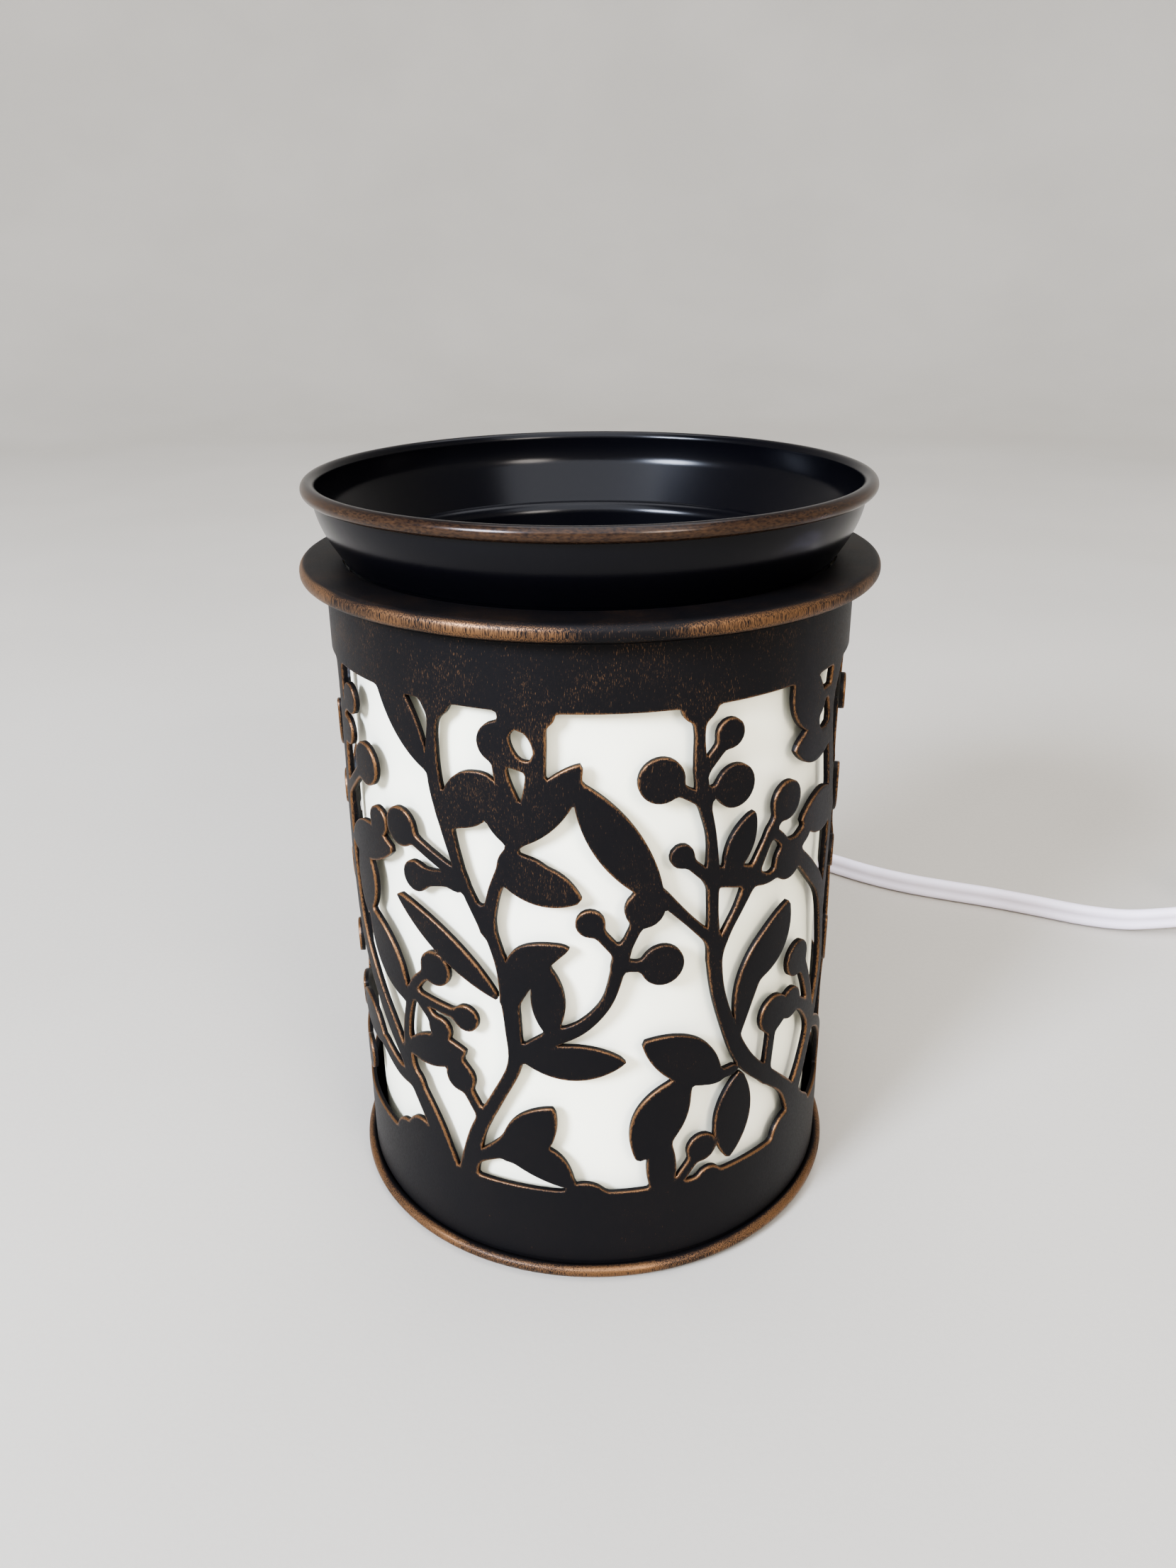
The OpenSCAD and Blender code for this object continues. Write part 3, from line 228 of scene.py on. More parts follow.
# A berry is its middle, its radius and the foot of its stalk.
BERRIES = [
    (80, 53, 3.4, 88, 56), (97, 67, 3.6, 91, 70), (99, 33, 3.6, 84, 34), (82, 87, 3.6, 91, 84),
    (107, 8, 3.8, 88, 11), (-43, 71.9, 3.9, -28.5, 66), (-39.2, 63, 3.1, -28, 65),
    (-51.2, 70.6, 3, -52, 66), (-17.6, 92.3, 3.8, -16, 96), (0, 59.2, 2.7, 6.2, 52.5),
    (11, 61.6, 3.7, 6, 52), (14.8, 49.9, 4.1, 5.5, 50.5), (-30, 22.2, 3.3, -24.6, 14),
    (-35.4, 44.6, 3.6, -35.4, 44.6), (-27.8, 36, 2.8, -43.4, 37), (-35, 31.4, 2.7, -41, 36.5),
    (-48.6, -0.4, 4.4, -48.6, -1), (-43, 2.6, 4.6, -43, -1),
    (14, 85.6, 4.2, 23.4, 80.5), (28.4, 92.4, 2.8, 22.6, 86.4), (30, 82.5, 4.1, 23.4, 82),
    (18.5, 71, 2.3, 25.4, 65), (44.8, 76.2, 3.9, 44.8, 76), (46.4, 64, 4.1, 46.4, 64),
    (24.9, 7, 3.2, 18.8, -0.4), (27, -1, 2.8, 27, -1), (44.4, 31.2, 4.1, 42.6, 17),
    (50.8, 31, 3.4, 50.8, 31), (52.6, 40.4, 3.8, 52.6, 40), (-55, 80.9, 4.2, -69, 71),
    (-61, 92, 3, -67, 88), (-64, 85, 2.8, -67, 83), (-1.6, -2.6, 4.8, -1.6, -2.6),
    (-8.4, 97.6, 1.9, -8.4, 97.6), (20, 97.4, 1.7, 20, 97.4),
    (51.6, -0.4, 4.8, 51.6, -1), (60, -1, 4.6, 60, -1),
]
STALK_WIDTH = 2.2
LEAF_FULLNESS = 0.85
OVAL_FULLNESS = 0.5
FILLET = 1.0
# How bare the polish leaves the metal at a window's edge, how far in the bare strip fades, in
# millimetres, and a value below nought that keeps copper off the cut walls behind the edge.
EDGE_RUB, EDGE_FADE, WALL_RUB = 0.62, 0.7, -0.7
# Degrees of the quarter round at a window's edge where a ring of points stands.
ROUNDING_STEPS = (35, 70)

# The cord's route, in millimetres, as the part's source has it.
CORD_START = 43.0
EXIT_Z = 12.5
RELIEF_Y = 74.5
SWITCH_X, SWITCH_Y, SWITCH_END, SWITCH_Z = 190, 84, 244, 6.2
POCKET = 13
RUN_ROUTE = [
    (0, CORD_START, EXIT_Z), (0, 50.5, EXIT_Z), (0, 68, EXIT_Z), (0, 76, EXIT_Z), (0, 84, 12.2),
    (0.6, 92, 11.2), (3, 104, 9.2), (8, 115, 7), (15, 124.4, 5.2), (24, 131.6, 4), (34, 136, 3.5),
    (45, 137.4, 3.3), (56, 135.6, 3.3), (67, 130.6, 3.3), (77, 123.6, 3.3), (87, 116, 3.3),
    (98, 109.6, 3.3), (110, 104.6, 3.3), (122, 100, 3.3), (134, 94.6, 3.3), (146, 88.8, 3.4),
    (157, 85.2, 3.8), (168, 84.2, 4.8), (178, 84, 5.9), (SWITCH_X - 6, SWITCH_Y, SWITCH_Z),
    (SWITCH_X, SWITCH_Y, SWITCH_Z), (SWITCH_X + POCKET - 0.5, SWITCH_Y, SWITCH_Z),
]
CORD_HALF_THICK, CORD_HALF_HIGH = 1.65, 3.2
COIL_X, COIL_R, COIL_TURNS, COIL_PITCH = 282, 41, 3.25, 4.2
COIL_Y = SWITCH_Y - COIL_R
COIL_DIP, COIL_DIP_HALF, COIL_CLIMB_HALF = 3, 0.6, 0.25
LAYER_LOW, LAYER_HIGH = 4.15, 11.35
LEAD_IN = 8
PLUG_X, PLUG_Y, PLUG_DEPTH = 240, COIL_Y - COIL_R, 10
PLUG_LONG, PLUG_HIGH, PLUG_THICK, PLUG_EDGE = 34, 22.4, 14, 1.6
LINK_ROUTE = [
    (SWITCH_END - POCKET + 0.5, SWITCH_Y, SWITCH_Z), (SWITCH_END, SWITCH_Y, SWITCH_Z),
    (SWITCH_END + 7, SWITCH_Y, SWITCH_Z - 0.4), (SWITCH_END + 14, SWITCH_Y, LAYER_LOW + 0.9),
    (SWITCH_END + 20, SWITCH_Y, LAYER_LOW), (COIL_X - LEAD_IN - 5, SWITCH_Y, LAYER_LOW),
    (COIL_X - LEAD_IN, SWITCH_Y, LAYER_LOW),
]
TAIL_ROUTE = [
    (COIL_X - LEAD_IN, PLUG_Y, LAYER_HIGH), (COIL_X - 16, PLUG_Y, LAYER_HIGH),
    (COIL_X - 24, PLUG_Y, LAYER_HIGH), (COIL_X - 33, PLUG_Y, LAYER_HIGH),
    (PLUG_X, PLUG_Y, LAYER_HIGH), (PLUG_X - PLUG_DEPTH, PLUG_Y, LAYER_HIGH),
]


def feed(tree, node, inputs):
    """Fills a node's inputs, each with a value or with a link from the socket that feeds it."""
    for key, value in inputs.items():
        if isinstance(value, bpy.types.NodeSocket):
            tree.links.new(value, node.inputs[key])
        else:
            node.inputs[key].default_value = value


def add(tree, kind, inputs=None, out=0, **settings):
    """Adds a shader node, whose settings are its properties, and gives one of its outputs."""
    node = tree.nodes.new("ShaderNode" + kind)
    for name, value in settings.items():
        setattr(node, name, value)
    feed(tree, node, inputs or {})
    return node.outputs[out]


def blank(name, **sockets):
    """A new material with its shader's constant sockets set."""
    material = bpy.data.materials.new(name)
    material.use_nodes = True
    shader = material.node_tree.nodes["Principled BSDF"]
    for key, value in sockets.items():
        shader.inputs[key.replace("_", " ").title().replace("Ior", "IOR")].default_value = value
    return material, material.node_tree, shader


def dress(material, *names):
    """Gives CAD nodes a material in every slot."""
    for name in names:
        slots = NODES[name].data.materials
        slots.clear()
        slots.append(material)


def build(name, points, polygons, material, body, slot, rub=None, angle=40):
    """A piece from points in millimetres and arrays of polygons, which rides on a body."""
    mesh = bpy.data.meshes.new(name)
    corners = np.concatenate([p.ravel() for p in polygons])
    sizes = np.concatenate([np.full(len(p), p.shape[1]) for p in polygons])
    mesh.vertices.add(len(points))
    mesh.vertices.foreach_set("co", (points * MM).astype(np.float32).ravel())
    mesh.loops.add(len(corners))
    mesh.loops.foreach_set("vertex_index", corners.astype(np.int32))
    mesh.polygons.add(len(sizes))
    mesh.polygons.foreach_set("loop_start", (np.cumsum(sizes) - sizes).astype(np.int32))
    mesh.update(calc_edges=True)
    mesh.validate()
    mesh.shade_smooth()
    mesh.set_sharp_from_angle(angle=math.radians(angle))
    if rub is not None:
        mesh.attributes.new("rub", "FLOAT", "POINT").data.foreach_set("value", rub.astype(np.float32))
    mesh.materials.append(material)
    piece = bpy.data.objects.new(name, mesh)
    bpy.context.scene.collection.objects.link(piece)
    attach(piece, body)
    return piece


def softened(node, name, material, body, slot, angle=30):
    """A copy of a CAD solid, joined at its corners, whose faces shade into each other where they meet at
    less than the angle, and whose flat faces stay flat."""
    solid = NODES[node].data
    points = np.empty(3 * len(solid.vertices), np.float32)
    solid.vertices.foreach_get("co", points)
    corners = np.empty(len(solid.loops), np.int32)
    solid.loops.foreach_get("vertex_index", corners)
    merged, ids = np.unique(points.reshape(-1, 3).round(6), axis=0, return_inverse=True)
    piece = build(name, merged / MM, [ids.ravel()[corners].reshape(-1, 3)], material, body, slot, angle=angle)
    piece.modifiers.new("Flat faces", "WEIGHTED_NORMAL").keep_sharp = True
    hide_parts(node)
    return piece


def grid(rows, columns, closed_rows=False, closed_columns=True):
    """Quads of a grid of rows by columns, joined round where it is closed."""
    i, j = np.meshgrid(
        np.arange(rows if closed_rows else rows - 1),
        np.arange(columns if closed_columns else columns - 1),
        indexing="ij",
    )
    a, b = i * columns + j, i * columns + (j + 1) % columns
    up = (i + 1) % rows * columns - i * columns
    return np.stack([a, b, b + up, a + up], axis=-1).reshape(-1, 4)


def turned(profile, segments=SEGMENTS):
    """Points of a profile of (radius, height) carried round the Z axis."""
    w = np.linspace(0, 2 * np.pi, segments, endpoint=False)
    r, z = profile[:, 0, None], profile[:, 1, None]
    return np.stack([r * np.cos(w), r * np.sin(w), z + 0 * w], axis=-1).reshape(-1, 3)


def rounded(corners, steps=8):
    """A line through (x, y, radius) corners, with each inner corner swapped for an arc of its radius."""
    points = np.array([c[:2] for c in corners], float)
    line = [points[:1]]
    for before, at, after, corner in zip(points, points[1:], points[2:], corners[1:-1]):
        u, v = (before - at) / np.linalg.norm(before - at), (after - at) / np.linalg.norm(after - at)
        half = np.arccos(np.clip(u @ v, -1, 1)) / 2
        if corner[2] == 0 or half > np.pi / 2 - 1e-3:
            line.append(at[None])
            continue
        middle = at + (u + v) / np.linalg.norm(u + v) * corner[2] / np.sin(half)
        start = at + u * corner[2] / np.tan(half) - middle
        turn = np.sign(u[0] * v[1] - u[1] * v[0]) * -1
        w = turn * (np.pi - 2 * half) * np.linspace(0, 1, steps)[:, None]
        ahead, aside = np.hstack([np.cos(w), np.sin(w)]), np.hstack([-np.sin(w), np.cos(w)])
        line.append(middle + (start[0] * ahead + start[1] * aside))
    return np.concatenate(line + [points[-1:]])


def smooth(route, steps):
    """A Catmull-Rom curve through a route's points, with so many steps between each two."""
    p = np.array(route, float)
    q = np.vstack([p[:1], p, p[-1:]])
    a, b, c, d = (q[k : len(q) - 3 + k, None] for k in range(4))
    t = np.linspace(0, 1, steps, endpoint=False)[None, :, None]
    curve = b + t * (c - a) / 2 + t**2 * (a - 2.5 * b + 2 * c - d / 2) + t**3 * (1.5 * (b - c) + (d - a) / 2)
    return np.vstack([curve.reshape(-1, p.shape[1]), p[-1:]])


def soft_union(a, b, k):
    """The smaller of two distances, blended over k so that inner corners get a fillet."""
    h = np.clip(0.5 + 0.5 * (b - a) / k, 0, 1)
    return b + (a - b) * h - k * h * (1 - h)


def stem_distance(x, y, points):
    """Distance to a stem: the least over its short straight steps of the distance to the step's axis,
    less half the stem's width there."""
    least = np.full(x.shape, np.inf)
    for a, b in zip(points, points[1:]):
        along = b[:2] - a[:2]
        t = np.clip(((x - a[0]) * along[0] + (y - a[1]) * along[1]) / (along @ along), 0, 1)
        gap = np.hypot(x - a[0] - t * along[0], y - a[1] - t * along[1])
        least = np.minimum(least, gap - (a[2] + t * (b[2] - a[2])) / 2)
    return least


def leaf_distance(x, y, base, tip, width, bow, fullness=LEAF_FULLNESS):
    """Distance to a leaf: how far a point stands off the leaf's bowed axis, less the half width there,
    which swells and shrinks as a power of the hump 4t(1 - t). The power of a half gives an oval."""
    along = tip - base
    size = np.hypot(*along)
    forward = along / size
    s = (x - base[0]) * forward[0] + (y - base[1]) * forward[1]
    side = (y - base[1]) * forward[0] - (x - base[0]) * forward[1]
    t = np.clip(s / size, 0, 1)
    hump = 4 * t * (1 - t)
    half = width / 2 * hump**fullness
    slope = 4 * (1 - 2 * t) * width / 2 / size
    off = (np.abs(side - bow * hump) - half) / np.sqrt(1 + slope**2)
    past = np.abs(s - np.clip(s, 0, size))
    return np.where(past > 0, np.hypot(past, np.maximum(off, 0)), off)


def foliage(azimuth, height, radius, pierced):
    """Distance in millimetres from points of the unrolled sleeve to its metal, below zero inside it."""
    arc = math.radians(1) * radius
    rise = pierced / DRAWN_HEIGHT
    wrap = PERIOD * arc

    def flat(points):
        return np.array(points, float) * ([arc, rise] + [1] * (len(points[0]) - 2))

    def near(points):
        middle = (points[:, 0].min() + points[:, 0].max()) / 2
        return (azimuth * arc - middle + wrap / 2) % wrap - wrap / 2 + middle

    metal = soft_union(height, pierced - height, FILLET)
    for stem in STEMS:
        points = flat(stem)
        shape = stem_distance(near(points), height, smooth(points, 5))
        metal = soft_union(metal, shape, FILLET)
    for x, y, size, foot_x, foot_y in BERRIES:
        points = flat([(x, y), (foot_x, foot_y)])
        across = near(points)
        berry = np.hypot(across - points[0, 0], height - points[0, 1]) - size
        if foot_x != x:
            stalk = np.column_stack([points[::-1], [STALK_WIDTH] * 2])
            berry = soft_union(berry, stem_distance(across, height, stalk), FILLET)
        metal = soft_union(metal, berry, FILLET)
    for leaf in LEAVES:
        ends = flat([leaf[:2], leaf[2:4]])
        metal = soft_union(metal, leaf_distance(near(ends), height, *ends, *leaf[4:]), FILLET)
    for slit in SLITS:
        ends = flat([slit[:2], slit[2:4]])
        oval = leaf_distance(near(ends), height, *ends, *slit[4:], OVAL_FULLNESS)
        metal = -soft_union(-metal, oval, FILLET / 2)
    return metal


# Corners of a cell are 0 to 3, anticlockwise from the lower left, and its edges are 4 to 7.
CELL_WALK = (0, 4, 1, 5, 2, 6, 3, 7)


def cell_outline(case):
    """The walk round a cell whose corners in metal are the case's bits: those corners, and the edges
    that the metal's outline crosses."""
    inside = [case >> k & 1 for k in range(4)]
    crossed = [inside[k] != inside[(k + 1) % 4] for k in range(4)]
    return [k for k in CELL_WALK if (inside[k] if k < 4 else crossed[k - 4])]


def pierced_sheet(heights, columns, radius, sheet, bevel, low, pierced, hole):
    """The sleeve: a grid of cells round the cylinder is cut along the foliage's outline, which is where
    the distance is zero between two corners of a cell. The outer face keeps a bevel's width inside the
    outline, and a quarter round and a wall join it to the inner face."""
    azimuth = np.arange(columns // 2) * 360 / columns
    field = foliage(azimuth[None], heights[:, None] - low, radius, pierced)
    field = np.concatenate([field, field], axis=1)
    azimuth = np.arange(columns) * 360 / columns
    across = math.radians(1) * radius * ((azimuth - hole[0] + 180) % 360 - 180)
    field = np.maximum(field, hole[2] - np.hypot(across[None], heights[:, None] - hole[1]))
    step = 2 * np.pi * radius / columns
    du = (np.roll(field, -1, 1) - np.roll(field, 1, 1)) / (2 * step)
    dv = np.gradient(field, heights, axis=0)
    level = field + bevel
    rows = len(heights)
    a, z = np.meshgrid(np.arange(columns) * step, heights)
    stack = np.stack([a, z, field, du, dv])
    right = np.roll(stack, -1, 2)
    right[0, :, -1] += 2 * np.pi * radius
    after = np.roll(level, -1, 1)

    def crossing(first, second, one, two):
        t = one / np.where(one == two, 1, one - two)
        return first + np.clip(t, 0, 1) * (second - first)

    flat_edges = crossing(stack, right, level, after)
    tall_edges = crossing(stack[:, :-1], stack[:, 1:], level[:-1], level[1:])
    points = np.concatenate([s.reshape(5, -1) for s in (stack, flat_edges, tall_edges)], axis=1)

    i, j = np.meshgrid(np.arange(rows - 1), np.arange(columns), indexing="ij")
    k = (j + 1) % columns
    count = rows * columns
    tokens = np.stack(
        [i * columns + j, i * columns + k, (i + 1) * columns + k, (i + 1) * columns + j]
        + [count + i * columns + j, 2 * count + i * columns + k]
        + [count + (i + 1) * columns + j, 2 * count + i * columns + j],
        axis=-1,
    ).reshape(-1, 8)
    metal = (level < 0).astype(int)
    case = sum(metal.ravel()[tokens[:, k]] << k for k in range(4))
    faces, walls = [], []
    for kind in range(1, 16):
        walk = cell_outline(kind)
        cells = tokens[case == kind]
        faces.append(cells[:, walk])
        for first, second in zip(walk, walk[1:] + walk[:1]):
            if first > 3 and second > 3:
                walls.append(cells[:, [second, first]])
    walls = np.concatenate(walls)

    # The top and bottom edges of the sheet are walls too.
    around = np.arange(columns)
    for row, turn in ((0, 1), (rows - 1, -1)):
        edge = row * columns + np.stack([around, (around + 1) % columns], axis=1)
        walls = np.concatenate([walls, edge[:, ::-turn]])
    used, flat_ids = np.unique(np.concatenate([f.ravel() for f in faces]), return_inverse=True)
    where = np.zeros(points.shape[1], int)
    where[used] = np.arange(len(used))
    rim, rim_ids = np.unique(walls, return_inverse=True)
    rim_ids = rim_ids.reshape(walls.shape)
    u, v, depth, gu, gv = points[:, used]
    ends = (np.abs(v - heights[0]) < 1e-6) | (np.abs(v - heights[-1]) < 1e-6)
    size = np.maximum(np.hypot(gu, gv), 1e-6)
    out_u, out_v = np.where(ends, 0, gu / size), np.where(ends, 0, gv / size)
    edge = np.zeros(len(used), bool)
    edge[where[rim]] = True

    def ring(pick, out, drop):
        turn = (u + out_u * out)[pick] / radius
        r = radius - drop
        return np.stack([r * np.sin(turn), -r * np.cos(turn), (v + out_v * out)[pick]], axis=1)

    everything, rims = slice(None), where[rim]
    inner = ring(everything, np.where(edge, bevel, 0), sheet)
    parts = [ring(everything, 0, 0), inner]
    rings = [rims]
    for angle in ROUNDING_STEPS:
        w = math.radians(angle)
        rings.append(sum(map(len, parts)) + np.arange(len(rim)))
        parts.append(ring(rims, bevel * math.sin(w), bevel * (1 - math.cos(w))))
    rings.append(rims + len(used))
    polygons = [where[f] for f in faces] + [where[f][:, ::-1] + len(used) for f in faces]
    for upper, lower in zip(rings, rings[1:]):
        polygons.append(np.column_stack([upper[rim_ids], lower[rim_ids[:, ::-1]]]))
    face = np.clip(EDGE_RUB + (depth + bevel) / EDGE_FADE, 0, 1)
    rub = np.concatenate([face, np.where(edge, WALL_RUB, 0), np.tile(~ends[rims], len(ROUNDING_STEPS))])
    return np.concatenate(parts), polygons, rub


def lathe(profile, segments=SEGMENTS):
    """A profile of (radius, height) points carried round the Z axis, anticlockwise as seen with the axis
    on the left. It closes on the axis where its ends lie there, and on itself where they don't."""
    rows = len(profile)
    open_ends = profile[0, 0] == 0
    points = turned(profile, segments)
    polygons = [grid(rows, segments, closed_rows=not open_ends)[:, ::-1]]
    if open_ends:
        quads = polygons[0].reshape(rows - 1, segments, 4)
        first, last = quads[0].copy(), quads[-1].copy()
        first[first < segments] = 0
        last[last >= (rows - 1) * segments] = (rows - 1) * segments
        polygons = [quads[1:-1].reshape(-1, 4), first[:, [0, 1, 3]], last[:, [0, 1, 2]]]
    return points, polygons


def swept(path, section, upright=(0, 0, 1)):
    """A section of (sideways, upwards) points carried along a path, always upright, with both ends
    closed: each ring is the path's point plus the section in the plane across the path there."""
    ahead = np.gradient(path, axis=0)
    ahead /= np.linalg.norm(ahead, axis=1)[:, None]
    side = np.cross(ahead, upright)
    side /= np.linalg.norm(side, axis=1)[:, None]
    up = np.cross(side, ahead)
    rings = path[:, None] + section[None, :, :1] * side[:, None] + section[None, :, 1:] * up[:, None]
    count = len(section)
    polygons = [grid(len(path), count)[:, ::-1]]
    ends = np.arange(count)[None]
    polygons += [ends, (ends + (len(path) - 1) * count)[:, ::-1]]
    return rings.reshape(-1, 3), polygons


def twin_section(width, thickness, steps=13):
    """The section of a flat twin cord: two round cores one above the other, and on each side a groove
    between them, about a third of a core's radius deep."""
    core = thickness / 2
    apart = width / 2 - core
    up = width / 2 * np.sin(np.linspace(-np.pi / 2, np.pi / 2, steps))
    half = np.sqrt(np.maximum(core**2 - (np.abs(up) - apart) ** 2, 0))
    half = np.where(np.abs(up) < apart, np.maximum(half, 0.66 * core), half)
    right = np.stack([half, up], axis=1)
    left = right[1:-1][::-1] * [-1, 1]
    return np.concatenate([right, left])


def eased(value, start, stop):
    """Nought before start, one after stop, and a smooth step between."""
    t = np.clip((value - start) / (stop - start), 0, 1)
    return t * t * (3 - 2 * t)


def coil_route(steps):
    """The coil's middle line: a spiral in and a spiral out on the layer above, with an inward dip and
    a soft climb where it turns back."""
    turn = np.linspace(0, 2 * COIL_TURNS, steps)
    s = turn - COIL_TURNS
    dip = np.where(np.abs(s) < COIL_DIP_HALF, COIL_DIP * np.cos(np.pi / 2 * s / COIL_DIP_HALF) ** 2, 0)
    r = COIL_R - COIL_PITCH * np.minimum(turn, 2 * COIL_TURNS - turn) - dip
    z = LAYER_LOW + (LAYER_HIGH - LAYER_LOW) * eased(s, -COIL_CLIMB_HALF, COIL_CLIMB_HALF)
    w = np.pi / 2 - 2 * np.pi * turn
    return np.stack([COIL_X + r * np.cos(w), COIL_Y + r * np.sin(w), z], axis=1)


def wire_route(side):
    """One wire's middle line, in millimetres, down from the holder and back to the cord's end."""
    x, lift = 3 * side, 1.6 * side
    return smooth([
        (x, 0, 36), (x, 0, 31), (x, 0, 28), (x, 0.4, 22), (x, 4, 16), (x, 12, EXIT_Z + 0.6 * side),
        (0.7 * x, 22, EXIT_Z + lift), (0.4 * side, 33, EXIT_Z + lift), (0, CORD_START - 3, EXIT_Z + lift),
        (0, CORD_START, EXIT_Z + lift),
    ], 8)


def grooves(s, start, pitch, depth):
    """How deep cosine grooves cut in along s: half the depth times one less the cosine of the turns."""
    return depth * (1 - np.cos(2 * np.pi * (s - start) / pitch)) / 2


def superellipse(columns, power):
    """Shares across and up of points round a superellipse: the cosine and the sine, each with its sign
    kept and its size raised to a power."""
    w = np.linspace(0, 2 * np.pi, columns, endpoint=False) + np.pi / columns
    return [np.sign(share) * np.abs(share) ** power for share in (np.cos(w), np.sin(w))]


def plug_loft(columns=96, step=0.25):
    """The plug's body as rings from its face to its neck. Each ring is a superellipse, whose power eases
    from a rounded box to an oval, and whose half height and half depth ease down to the neck, less
    cosine grooves for the fingers and for the neck's ribs."""
    bend = PLUG_EDGE * (1 - np.cos(np.linspace(0, np.pi / 2, 9)))
    s = np.concatenate([bend, np.arange(PLUG_EDGE + step, PLUG_LONG, step)])
    edge = PLUG_EDGE - np.sqrt(np.maximum(PLUG_EDGE**2 - np.maximum(PLUG_EDGE - s, 0) ** 2, 0))
    neck = eased(s, 17.5, 30)
    ribs = grooves(s, 24.4, 2.2, 0.5) * eased(s, 24, 25) * (1 - eased(s, 32.5, 33.4))
    grips = grooves(s, 5, 2, 0.45) * ((s > 5) & (s < 15))
    high = PLUG_HIGH / 2 - edge - neck * (PLUG_HIGH / 2 - 4.9) - ribs
    deep = PLUG_THICK / 2 - edge - neck * (PLUG_THICK / 2 - 3.3) - ribs - grips
    across, up = superellipse(columns, 2 / (7 - 4.6 * neck[:, None]))
    along = PLUG_X - PLUG_LONG + s[:, None] + 0 * up
    points = np.stack([along, PLUG_Y + across * deep[:, None], LAYER_HIGH + up * high[:, None]], axis=-1)
    ends = np.arange(columns)[None]
    return points.reshape(-1, 3), [grid(len(s), columns), ends[:, ::-1], ends + (len(s) - 1) * columns]


def tie_strap(turn_to, width=5, thick=0.65, slack=0.2, bend=2.2, columns=16):
    """A strap round the coil's turns: a rounded box in the plane through the coil's axis, which the
    strap's section follows, and whose sides stand a little off the nearest and the farthest turn."""
    turns = coil_route(steps=2601) - [COIL_X, COIL_Y, 0]
    out = np.hypot(turns[:, 0], turns[:, 1])
    away = np.abs((np.arctan2(turns[:, 1], turns[:, 0]) - turn_to + np.pi) % (2 * np.pi) - np.pi)
    near = out[away < 0.1]
    gap = CORD_HALF_THICK + slack + thick / 2
    left, right = near.min() - gap, near.max() + gap
    low, high = LAYER_LOW - CORD_HALF_HIGH - slack, LAYER_HIGH + CORD_HALF_HIGH + slack + thick / 2
    middle = (left + right) / 2
    line = rounded([
        (middle, low, 0), (right, low, bend), (right, high, bend), (left, high, bend), (left, low, bend),
        (middle, low, 0),
    ])[:-1]
    ahead = np.roll(line, -1, axis=0) - np.roll(line, 1, axis=0)
    normal = np.stack([ahead[:, 1], -ahead[:, 0]], axis=1) / np.linalg.norm(ahead, axis=1)[:, None]
    side, out = superellipse(columns, 0.4)
    side, out = side * width / 2, out * thick / 2
    r = line[:, 0, None] + normal[:, 0, None] * out
    z = line[:, 1, None] + normal[:, 1, None] * out
    x = COIL_X + r * np.cos(turn_to) - side * np.sin(turn_to)
    y = COIL_Y + r * np.sin(turn_to) + side * np.cos(turn_to)
    return np.stack([x, y, z], axis=-1).reshape(-1, 3), [grid(len(line), columns, closed_rows=True)]


